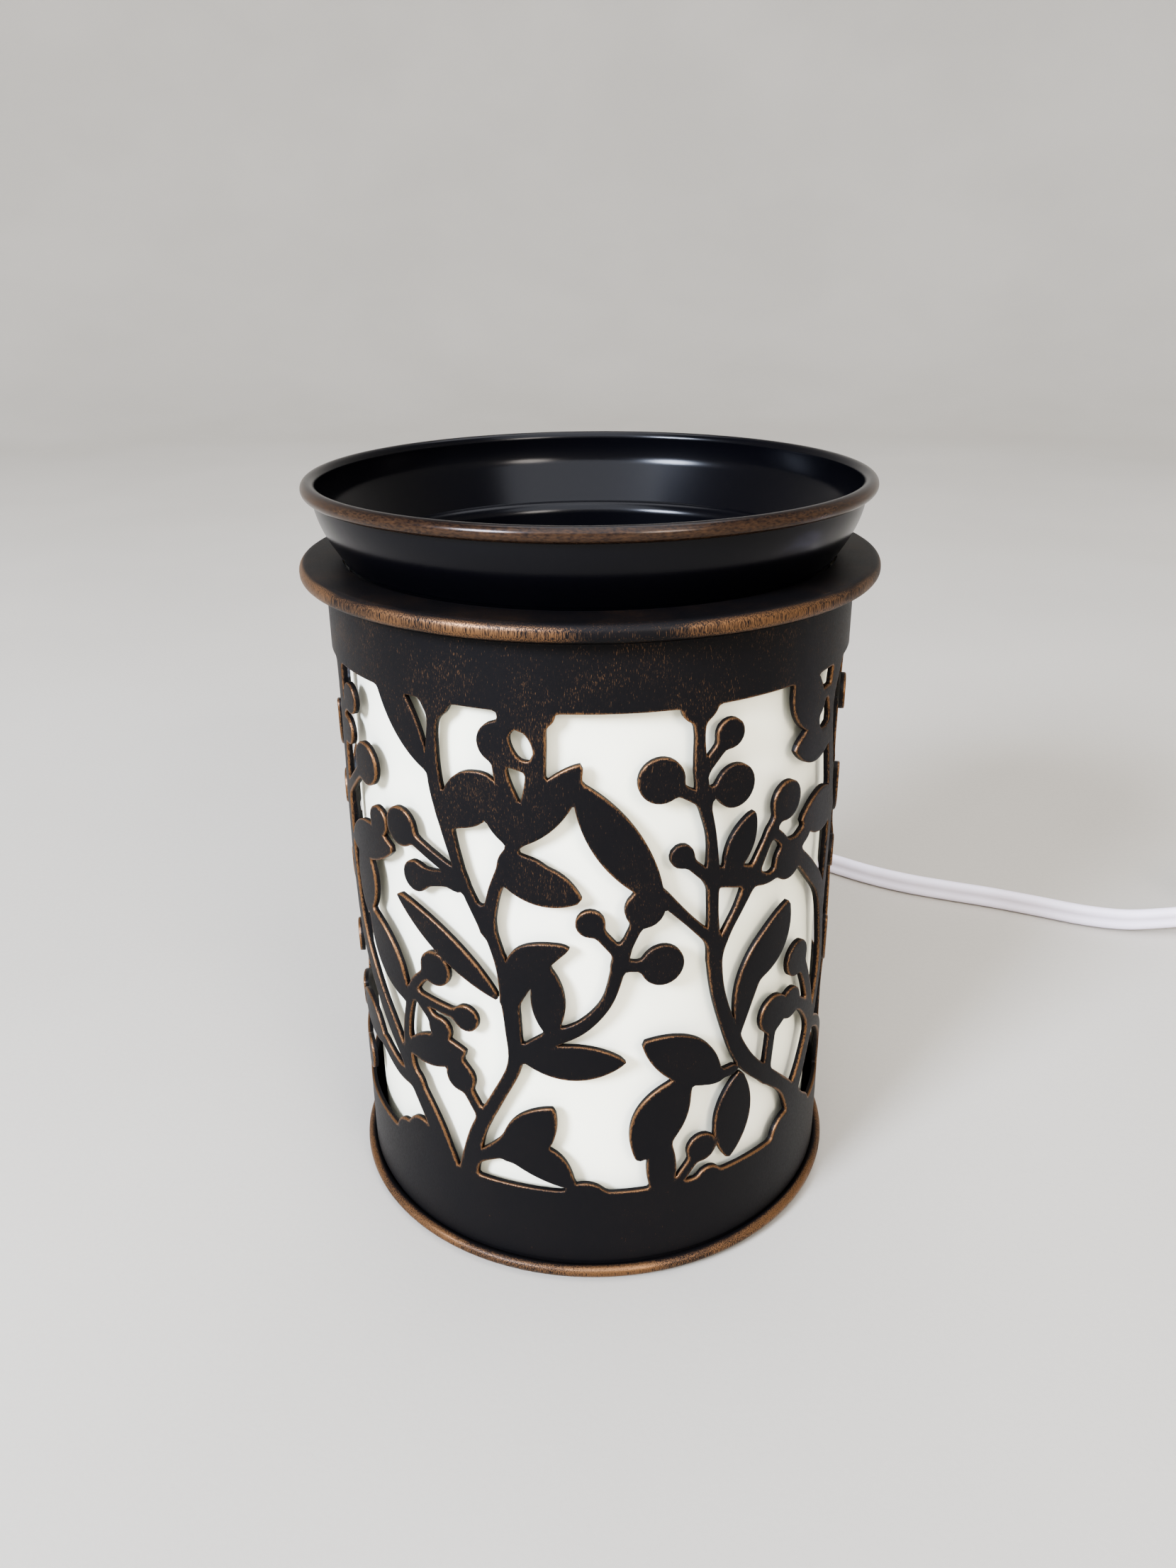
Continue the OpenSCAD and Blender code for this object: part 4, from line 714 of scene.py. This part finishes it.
def rubbed_bronze(tones, patchy, stroke, bead=None):
    """Sprayed bronze paint on sheet steel, rubbed back to copper along its edges, or between two radii
    where a bead stands out. The more patchy, the less copper shows in the worst places. The polish
    leaves upright strokes, 0.13 mm wide and as many millimetres long as given."""
    # The eye sees satin black with a warm cast, copper broken up by dark strokes on every edge and bead,
    # and patches, about 9 mm across, of fine copper scratches, which thicken towards the top.
    material, tree, shader = blank("Rubbed bronze paint", specular_ior_level=0.11)
    place = add(tree, "TexCoord", out="Object")
    if bead:
        level = add(tree, "VectorMath", {0: place, 1: (1, 1, 0)}, operation="MULTIPLY")
        radius = add(tree, "VectorMath", {0: level}, "Value", operation="LENGTH")
        rub = add(tree, "MapRange", {"Value": radius, "From Min": bead[0], "From Max": bead[1]})
    else:
        rub = add(tree, "Attribute", out="Fac", attribute_name="rub")
    scale = (7.5 / MM, 7.5 / MM, 1 / (stroke * MM))
    upright = add(tree, "Mapping", {"Vector": place, "Scale": scale})
    strokes = add(tree, "TexNoise", {"Vector": upright, "Scale": 1, "Detail": 3, "Roughness": 0.6})
    patches = add(tree, "TexNoise", {"Vector": place, "Scale": 0.11 / MM, "Detail": 4, "Roughness": 0.62})
    worn = add(tree, "MapRange", {"Value": patches, "From Min": 0.38, "From Max": 0.66, "To Max": 0.1})
    rise = add(tree, "SeparateXYZ", {"Vector": place}, "Z")
    climb = {"Value": rise, "From Min": 20 * MM, "From Max": 115 * MM, "To Min": 0.755, "To Max": 0.66}
    handled = add(tree, "MapRange", climb)
    limit = add(tree, "Math", {0: handled, 1: worn}, operation="SUBTRACT")
    over = add(tree, "Math", {0: strokes, 1: limit}, operation="SUBTRACT")
    scratch = add(tree, "MapRange", {"Value": over, "From Max": 0.08, "To Max": 0.45})
    ragged = {"Value": strokes, "From Min": 0.36, "From Max": 0.64, "To Min": 0.4, "To Max": 1.3}
    uneven = add(tree, "MapRange", ragged)
    # The polisher's hand presses harder here and there, over about 26 mm.
    slow = add(tree, "TexNoise", {"Vector": place, "Scale": 0.038 / MM, "Detail": 3})
    press = {"Value": slow, "From Min": 0.4, "From Max": 0.58, "To Min": 1 - patchy, "To Max": 1}
    hand = add(tree, "MapRange", press)
    worked = add(tree, "Math", {0: rub, 1: hand}, operation="MULTIPLY")
    along = add(tree, "Math", {0: worked, 1: uneven}, operation="MULTIPLY")
    reach = {"Value": along, "From Min": 0.3, "From Max": 0.85}
    edge = add(tree, "MapRange", reach, interpolation_type="SMOOTHSTEP")
    bare = add(tree, "Math", {0: scratch, 1: edge}, operation="MAXIMUM")
    paint = add(tree, "Mix", {"Factor": patches, 6: tones.paint, 7: tones.paint_warm}, 2, data_type="RGBA")
    sheen = {"Value": strokes, "From Min": 0.3, "From Max": 0.7, "To Min": 0.38, "To Max": 0.52}
    gloss = add(tree, "MapRange", sheen)
    feed(tree, shader, {
        "Base Color": add(tree, "Mix", {"Factor": bare, 6: paint, 7: tones.copper}, 2, data_type="RGBA"),
        "Metallic": add(tree, "Math", {0: bare, 1: 0.85}, operation="MULTIPLY"),
        "Roughness": add(tree, "Math", {0: bare, 1: -0.06, 2: gloss}, operation="MULTIPLY_ADD"),
        "Normal": add(tree, "Bump", {"Strength": 0.12, "Distance": 0.1 * MM, "Height": strokes}),
    })
    return material


def dish_enamel(tones):
    """Sprayed black enamel on spun steel, rubbed back to copper on the rim. The rim's strokes run round
    it, about 0.8 mm long and 0.3 mm wide, so they are drawn over its angle, radius and height."""
    # The eye sees deep black with soft reflections of the room, and a brown rim.
    material, tree, shader = blank("Black dish enamel", specular_ior_level=0.18, roughness=0.22)
    place = add(tree, "TexCoord", out="Object")
    rub = add(tree, "Attribute", out="Fac", attribute_name="rub")
    x, y, z = (add(tree, "SeparateXYZ", {"Vector": place}, axis) for axis in "XYZ")
    turn = add(tree, "Math", {0: y, 1: x}, operation="ARCTAN2")
    level = add(tree, "VectorMath", {0: place, 1: (1, 1, 0)}, operation="MULTIPLY")
    radius = add(tree, "VectorMath", {0: level}, "Value", operation="LENGTH")
    spun = add(tree, "CombineXYZ", {"X": turn, "Y": radius, "Z": z})
    drawn = add(tree, "Mapping", {"Vector": spun, "Scale": (64, 3.2 / MM, 3.2 / MM)})
    strokes = add(tree, "TexNoise", {"Vector": drawn, "Scale": 1, "Detail": 3, "Roughness": 0.6})
    ragged = {"Value": strokes, "From Min": 0.3, "From Max": 0.7, "To Min": 0.5, "To Max": 1.1}
    uneven = add(tree, "MapRange", ragged)
    along = add(tree, "Math", {0: rub, 1: uneven}, operation="MULTIPLY")
    reach = {"Value": along, "From Min": 0.15, "From Max": 1, "To Max": 0.32}
    bare = add(tree, "MapRange", reach, interpolation_type="SMOOTHSTEP")
    ends = {"Factor": bare, 6: tones.enamel, 7: tones.copper}
    feed(tree, shader, {
        "Base Color": add(tree, "Mix", ends, 2, data_type="RGBA"),
        "Metallic": add(tree, "Math", {0: bare, 1: 0.85}, operation="MULTIPLY"),
    })
    return material


def plain(name, base, tint, rough, grain, depth, cloud=12, **sockets):
    """A moulded, cast or plated surface. Its tone drifts from base to tint over clouds some millimetres
    across, and its grain, in millimetres, roughens it and bumps it by a depth in millimetres."""
    material, tree, shader = blank(name, **sockets)
    place = add(tree, "TexCoord", out="Object")
    clouds = add(tree, "TexNoise", {"Vector": place, "Scale": 1 / (cloud * MM), "Detail": 3})
    fine = add(tree, "TexNoise", {"Vector": place, "Scale": 1 / (grain * MM), "Detail": 2})
    drift = add(tree, "MapRange", {"Value": clouds, "From Min": 0.35, "From Max": 0.65})
    sheen = {"Value": fine, "From Min": 0.3, "From Max": 0.7, "To Min": rough * 0.85, "To Max": rough * 1.15}
    feed(tree, shader, {
        "Base Color": add(tree, "Mix", {"Factor": drift, 6: base, 7: linear(tint)}, 2, data_type="RGBA"),
        "Roughness": add(tree, "MapRange", sheen),
        "Normal": add(tree, "Bump", {"Strength": 0.5, "Distance": depth * MM, "Height": fine}),
    })
    return material


def pressed(name, base, cell, depth, **sockets):
    """Glass pressed with round dimples, or its mirror coat. A dimple is about a cell across and as deep
    as the depth, both in millimetres."""
    # The eye sees a pebbled surface that breaks up what it reflects and what shows through it.
    material, tree, shader = blank(name, **sockets)
    place = add(tree, "TexCoord", out="Object")
    dimples = {"Vector": place, "Scale": 1 / (cell * MM)}
    cells = add(tree, "TexVoronoi", dimples, "Distance", feature="SMOOTH_F1")
    tone = add(tree, "MapRange", {"Value": cells, "To Min": 1, "To Max": 0.94})
    ends = {"Factor": tone, 6: linear("#c9ced1"), 7: linear(base)}
    feed(tree, shader, {
        "Base Color": add(tree, "Mix", ends, 2, data_type="RGBA"),
        "Normal": add(tree, "Bump", {"Strength": 0.6, "Distance": depth * MM, "Height": cells}),
    })
    return material


class WarmerPiece:
    """What the operators share."""

    bl_options = {"REGISTER", "UNDO"}

    def sizes(self, context):
        """The sizes, in metres where they are lengths."""
        return context.scene.warmer_sizes

    def tones(self, context):
        """The colours."""
        return context.scene.warmer_colours


class WARMER_OT_grips(WarmerPiece, bpy.types.Operator):
    """Moulds the plug's body and the strain relief"""

    bl_idname = "warmer.grips"
    bl_label = "Plug and strain relief"

    def execute(self, context):
        tones = self.tones(context)
        # Moulded soft vinyl: milky white with a dull sheen and a slightly uneven skin.
        moulded = plain("Moulded vinyl", tones.cord, "#e0dbe4", rough=0.45, grain=0.6, depth=0.03)
        plug = build("plug_grip", *plug_loft(), moulded, "case", "white_plastic", angle=50)
        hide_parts("plug_body")
        softened("strain_relief", "relief_grip", moulded, "case", "white_pvc")
        return {"FINISHED"}


class WARMER_OT_ties(WarmerPiece, bpy.types.Operator):
    """Straps the coil with its two ties"""

    bl_idname = "warmer.ties"
    bl_label = "Coil ties"

    def execute(self, context):
        # Cut plastic band: greyish white and matt.
        band = plain("Tie band", linear("#dcdad4"), "#d2d0c9", rough=0.5, grain=0.6, depth=0.04)
        straps = [
            build(name, *tie_strap(math.radians(turn)), band, "case", "tie_band", angle=50)
            for name, turn in (("tie_near_plug", 225), ("tie_near_switch", 135))
        ]
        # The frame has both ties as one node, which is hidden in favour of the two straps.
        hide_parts("coil_ties")
        return {"FINISHED"}


class WARMER_OT_switch(WarmerPiece, bpy.types.Operator):
    """Moulds the two halves of the switch's case"""

    bl_idname = "warmer.switch"
    bl_label = "Switch case"

    def execute(self, context):
        tones = self.tones(context)
        # Moulded ABS: bright white with a soft sheen and a fine spark texture.
        shell = plain("Moulded plastic", tones.plastic, "#e9e5dd", rough=0.36, grain=0.7, depth=0.03)
        softened("switch_case_front", "switch_front", shell, "case", "white_plastic")
        softened("switch_case_back", "switch_back", shell, "case", "white_plastic")
        return {"FINISHED"}


class WARMER_OT_cords(WarmerPiece, bpy.types.Operator):
    """Lays the flat cord from the strain relief to the switch, and on through the coil to the plug"""

    bl_idname = "warmer.cords"
    bl_label = "Cords"

    def execute(self, context):
        sizes, tones = self.sizes(context), self.tones(context)
        # Extruded soft vinyl: milky and a little glossy, and its tone drifts along it.
        jacket = plain(
            "Extruded white vinyl", tones.cord, "#e2dce8", rough=0.42, grain=0.5, depth=0.02, cloud=25
        )
        section = twin_section(sizes.cord_width / MM, sizes.cord_thickness / MM)
        run = smooth(RUN_ROUTE, 6)
        rest = np.concatenate([smooth(LINK_ROUTE, 5)[:-1], coil_route(steps=480), smooth(TAIL_ROUTE, 5)])
        drawn = bpy.data.objects
        switch = [drawn["switch_front"], drawn["switch_back"]]
        switch += [NODES[name] for name in ("switch_wheel", "switch_axle", "switch_screw")]
        tail = [drawn["plug_grip"], NODES["plug_blades"], drawn["tie_near_plug"], drawn["tie_near_switch"]]
        for name, path, nodes, leave, end, lay, carried in (
            ("cord_to_switch", run, ["cord_run"], (0, RELIEF_Y - 2, EXIT_Z), "fitting", "loose", switch),
            (
                "cord_to_plug", rest, ["cord_link", "cord_coil", "cord_tail"],
                (SWITCH_END, SWITCH_Y, SWITCH_Z), "plug", "coiled", tail,
            ),
        ):
            piece = build(name, *swept(path, section), jacket, "case", "white_pvc", angle=60)
            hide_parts(*nodes)
        return {"FINISHED"}


class WARMER_OT_sleeve(WarmerPiece, bpy.types.Operator):
    """Cuts the foliage out of the sheet sleeve"""

    bl_idname = "warmer.sleeve"
    bl_label = "Pierced sleeve"

    def execute(self, context):
        sizes, tones = self.sizes(context), self.tones(context)
        low, high = SLEEVE_LOW.z / MM, SLEEVE_HIGH.z / MM
        start, stop = low + sizes.lower_band / MM, high - sizes.upper_band / MM
        radius = sizes.sleeve_radius / MM
        step = 2 * math.pi * radius / sizes.pattern_columns
        # The grid is fine between the bands and a little past them, and coarse on the plain metal.
        past = 2
        heights = np.concatenate([
            np.linspace(low, start - past, 13, endpoint=False),
            np.linspace(start - past, stop + past, round((stop - start + 2 * past) / step)),
            np.linspace(stop + past, high, 5)[1:],
        ])
        # The strain relief's hole at the back: degrees round, height and radius.
        hole = (180, EXIT_Z, 5.05)
        points, polygons, rub = pierced_sheet(
            heights, sizes.pattern_columns, radius, sizes.sleeve_sheet / MM, sizes.edge_round / MM,
            start, stop - start, hole,
        )
        bronze = rubbed_bronze(tones, patchy=0.45, stroke=0.75)
        piece = build("sleeve_foliage", points, polygons, bronze, "case", "rubbed_bronze", rub, 50)
        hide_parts("sleeve")
        return {"FINISHED"}


class WARMER_OT_dish(WarmerPiece, bpy.types.Operator):
    """Spins the dish with its rolled rim"""

    bl_idname = "warmer.dish"
    bl_label = "Wax dish"

    def execute(self, context):
        rim, rim_z, bead, sheet = 52.3, 148.6, 1.4, 0.9
        floor, well, lip = 122, 44.2, rim - 0.4
        wall = rounded([
            (0, floor, 0), (well, floor, 3.6), (45.6, 133.7, 5), (51.4, 143, 18), (lip, rim_z, 0),
        ])
        inside = rounded([
            (0, floor + sheet, 0), (well - sheet, floor + sheet, 2.7), (43.9, 135, 2.6), (46, 135.6, 0.3),
            (50.5, 143.9, 5), (lip - sheet, rim_z, 0),
        ])
        w = np.radians(np.linspace(-105, 195, 31))
        roll = np.stack([rim + bead * np.cos(w), rim_z + bead * np.sin(w)], axis=1)
        outer = wall[wall[:, 1] < rim_z - bead * 0.9]
        inner = inside[inside[:, 1] < rim_z - bead * 0.3][::-1]
        inner[-1, 0] = 0
        # The roll is rubbed most on its outermost side.
        bare = np.clip(0.25 + 0.5 * np.cos(w + 0.1), 0, 1)
        rub = np.repeat(np.concatenate([np.zeros(len(outer)), bare, np.zeros(len(inner))]), SEGMENTS)
        enamel = dish_enamel(self.tones(context))
        profile = np.concatenate([outer, roll, inner])
        piece = build("dish_bowl", *lathe(profile), enamel, "dish", "dish_enamel", rub, 45)
        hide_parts("wax_dish")
        return {"FINISHED"}


class WARMER_OT_flange(WarmerPiece, bpy.types.Operator):
    """Spins the top flange with its rolled edge"""

    bl_idname = "warmer.flange"
    bl_label = "Top flange"

    def execute(self, context):
        top, low, out = FLANGE_HIGH.z / MM, FLANGE_LOW.z / MM, FLANGE_HIGH.x / MM
        hole, sheet, edge = 47.007, 1.0, 2.0
        profile = rounded([
            (hole, top - 0.5, 0), (hole, top - sheet, 0.15), (out - edge, top - sheet, 0.3),
            (out - edge, low, 0.9), (out, low, 1.5), (out, top, 1.6), (hole, top, 0.15), (hole, top - 0.5, 0),
        ])[:-1]
        # The edge is rubbed all the way round, but for one gap just right of the front. It also gets more
        # copper towards the left, a painted highlight where the window light falls.
        w = np.linspace(0, 2 * np.pi, SEGMENTS, endpoint=False)
        gap = np.exp(-((w - np.radians(276)) / 0.15) ** 2)
        # The cosine term is painted light: it makes the edge brighter on the left, where the window light
        # falls.
        worn = 0.86 - 0.14 * np.cos(w + 0.35) - 0.5 * gap
        rub = np.clip((profile[:, 0, None] - out + 1.3) / 1.1, 0, 1) * worn
        bronze = rubbed_bronze(self.tones(context), patchy=0.45, stroke=1.8)
        piece = build("flange_plate", *lathe(profile), bronze, "case", "rubbed_bronze", rub.ravel(), 45)
        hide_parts("top_flange")
        return {"FINISHED"}


class WARMER_OT_wires(WarmerPiece, bpy.types.Operator):
    """Runs the two wires from the cord's end up to the lamp holder"""

    bl_idname = "warmer.wires"
    bl_label = "Lead wires"

    def execute(self, context):
        # Thin soft insulation: matt, off-white, slightly uneven.
        jacket = plain("Wire jacket", linear("#dcdad2"), "#cfccc2", rough=0.45, grain=0.5, depth=0.02)
        # A wire is a round of 1 mm radius.
        w = np.linspace(0, 2 * np.pi, 16, endpoint=False)
        ring = np.stack([np.cos(w), np.sin(w)], axis=1)
        for name, side in (("wire_low", -1), ("wire_high", 1)):
            piece = build(name, *swept(wire_route(side), ring, (1, 0, 0)), jacket, "case", "wire_jacket")
            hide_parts("lead_wires")
        return {"FINISHED"}


class WARMER_OT_fittings(WarmerPiece, bpy.types.Operator):
    """Finishes the pieces that stay as the frame has them"""

    bl_idname = "warmer.fittings"
    bl_label = "Fittings"

    def execute(self, context):
        tones = self.tones(context)
        bead = (50.5 * MM, 51.8 * MM)
        dress(rubbed_bronze(tones, patchy=0.45, stroke=1.4, bead=bead), "base_pan")
        # Opal glass: an even warm white with hardly any sheen.
        opal = plain("Opal glass", tones.glass, "#f8f5e0", rough=0.5, grain=0.8, depth=0.01, cloud=40)
        dress(opal, "diffuser")
        # Moulded rubber: dull black with a fine grain.
        dress(plain("Black rubber", tones.rubber, "#2c2a28", rough=0.75, grain=0.4, depth=0.05), "base_feet")
        # Zinc plating: grey, bright and slightly cloudy.
        zinc = plain(
            "Zinc-plated steel", tones.steel, "#a3a29c", rough=0.34, grain=0.3, depth=0.01, metallic=1.0
        )
        dress(
            zinc, "lamp_bracket", "bracket_screws", "bracket_nuts", "holder_screws", "bulb_pins",
            "switch_axle", "switch_screw",
        )
        # Glazed ceramic: ivory white under a smooth, glossy glaze.
        glaze = plain("Glazed ceramic", tones.ceramic, "#dcd6c8", rough=0.22, grain=0.9, depth=0.03)
        dress(glaze, "lamp_holder", "bulb_base")
        # Stamped brass: yellow and bright, with a few duller clouds.
        brass = plain("Brass", tones.brass, "#b48d41", rough=0.3, grain=0.3, depth=0.01, metallic=1.0)
        dress(brass, "holder_contacts", "plug_blades")
        dress(pressed("Mirror coat", "#d9dbde", 3, 0.3, roughness=0.12, metallic=1.0), "bulb_reflector")
        # Etched glass: pale, matt and even.
        frost = plain("Frosted glass", linear("#e4e7e8"), "#dadfe1", rough=0.4, grain=0.5, depth=0.02)
        dress(frost, "bulb_capsule")
        lens = pressed("Pressed lens glass", "#f2f5f6", 2.4, 0.25, roughness=0.1, transmission_weight=0.85)
        dress(lens, "bulb_lens")
        # Moulded ABS again, a shade darker than the switch's case.
        wheel = plain("Wheel plastic", linear("#d9d5cc"), "#d1ccc1", rough=0.4, grain=0.7, depth=0.03)
        dress(wheel, "switch_wheel")
        return {"FINISHED"}


class WARMER_OT_stage(WarmerPiece, bpy.types.Operator):
    """Sets the floor, the light and the camera"""

    bl_idname = "warmer.stage"
    bl_label = "Stage"

    def execute(self, context):
        scene = context.scene
        self.lay_floor(scene, self.tones(context).floor)
        self.hang_lights(scene)
        self.place_camera(scene)
        scene.view_settings.look = "AgX - Medium High Contrast"
        return {"FINISHED"}

    def lay_floor(self, scene, tone, segments=96):
        """A round floor that curves up into a wall. The object hides the small hole in its middle."""
        line = rounded([(1, 0, 0), (2000, 0, 800), (2000, 2600, 0)], 24)
        # Matt paper: pale and even, with a tooth that is too fine to see.
        paper = plain("Pale paper", tone, "#a5a096", rough=0.8, grain=1.2, depth=0.05, cloud=200)
        mesh = bpy.data.meshes.new("backdrop")
        mesh.from_pydata((turned(line, segments) * MM).tolist(), [], grid(len(line), segments).tolist())
        mesh.shade_smooth()
        mesh.materials.append(paper)
        backdrop = bpy.data.objects.new("backdrop", mesh)
        scene.collection.objects.link(backdrop)

    def hang_lights(self, scene):
        """A pale room, with two windows in front, a wide soft light above them and a ceiling."""
        world = bpy.data.worlds.new("Pale room")
        world.use_nodes = True
        tree = world.node_tree
        feed(tree, tree.nodes["Background"], {"Color": linear("#e9ebee"), "Strength": 0.24})
        scene.world = world
        aim = Vector((0, 0, 0.08))
        for name, place, size, power, tint in (
            ("far_window", (0.75, -1.3, 0.8), 0.5, 16, "#fff6ee"),
            ("side_window", (-0.9, -1.0, 0.85), 0.45, 74, "#dfe9ff"),
            ("room", (0.1, -1.1, 1.75), 2.4, 62, "#f3f6ff"),
            ("ceiling", (0.1, 0.5, 1.9), 1.5, 20, "#f8f9ff"),
        ):
            light = bpy.data.lights.new(name, "AREA")
            light.shape = "DISK"
            light.size = size
            light.energy = power
            light.color = linear(tint)[:3]
            lamp = bpy.data.objects.new(name, light)
            lamp.location = place
            lamp.rotation_mode = "QUATERNION"
            lamp.rotation_quaternion = (aim - Vector(place)).to_track_quat("-Z", "Y")
            scene.collection.objects.link(lamp)

    def place_camera(self, scene):
        """A camera in front of the object and above it, which looks down and is a little tipped."""
        pitch, yaw, roll = (math.radians(angle) for angle in (23.33, -0.669, -0.543))
        ahead = Vector((math.sin(yaw) * math.cos(pitch), math.cos(yaw) * math.cos(pitch), -math.sin(pitch)))
        right = Vector((math.cos(yaw), -math.sin(yaw), 0))
        up = right.cross(ahead)
        level = right * math.cos(roll) + up * math.sin(roll)
        upright = up * math.cos(roll) - right * math.sin(roll)
        turn = Matrix((level, upright, -ahead)).transposed().to_4x4()
        lens = bpy.data.cameras.new("camera")
        lens.lens = 28.587
        lens.sensor_width = 36
        lens.clip_start = 0.01
        camera = bpy.data.objects.new("camera", lens)
        camera.matrix_world = Matrix.Translation((0.00204, -0.23949, 0.18846)) @ turn
        scene.collection.objects.link(camera)
        scene.camera = camera


class WARMER_PT_panel(bpy.types.Panel):
    """Lists the sizes, the colours and the steps"""

    bl_idname = "WARMER_PT_panel"
    bl_label = "Wax Warmer"
    bl_space_type = "VIEW_3D"
    bl_region_type = "UI"
    bl_category = "Wax Warmer"

    def draw(self, context):
        for group in (context.scene.warmer_sizes, context.scene.warmer_colours):
            column = self.layout.column()
            for name in group.__annotations__:
                column.prop(group, name)
        for step in STEPS:
            self.layout.operator(step.bl_idname)


STEPS = (
    WARMER_OT_grips,
    WARMER_OT_ties,
    WARMER_OT_switch,
    WARMER_OT_cords,
    WARMER_OT_sleeve,
    WARMER_OT_dish,
    WARMER_OT_flange,
    WARMER_OT_wires,
    WARMER_OT_fittings,
    WARMER_OT_stage,
)
CLASSES = (WarmerSizes, WarmerColours) + STEPS + (WARMER_PT_panel,)


def register():
    """Registers the classes and hangs the sizes and colours on the scene."""
    for each in CLASSES:
        bpy.utils.register_class(each)
    bpy.types.Scene.warmer_sizes = PointerProperty(type=WarmerSizes)
    bpy.types.Scene.warmer_colours = PointerProperty(type=WarmerColours)


def unregister():
    """Takes everything away again."""
    del bpy.types.Scene.warmer_sizes
    del bpy.types.Scene.warmer_colours
    for each in reversed(CLASSES):
        bpy.utils.unregister_class(each)


def main():
    """Builds every piece and the stage."""
    register()
    for step in STEPS:
        group, name = step.bl_idname.split(".")
        getattr(getattr(bpy.ops, group), name)()


if __name__ == "__main__":
    main()
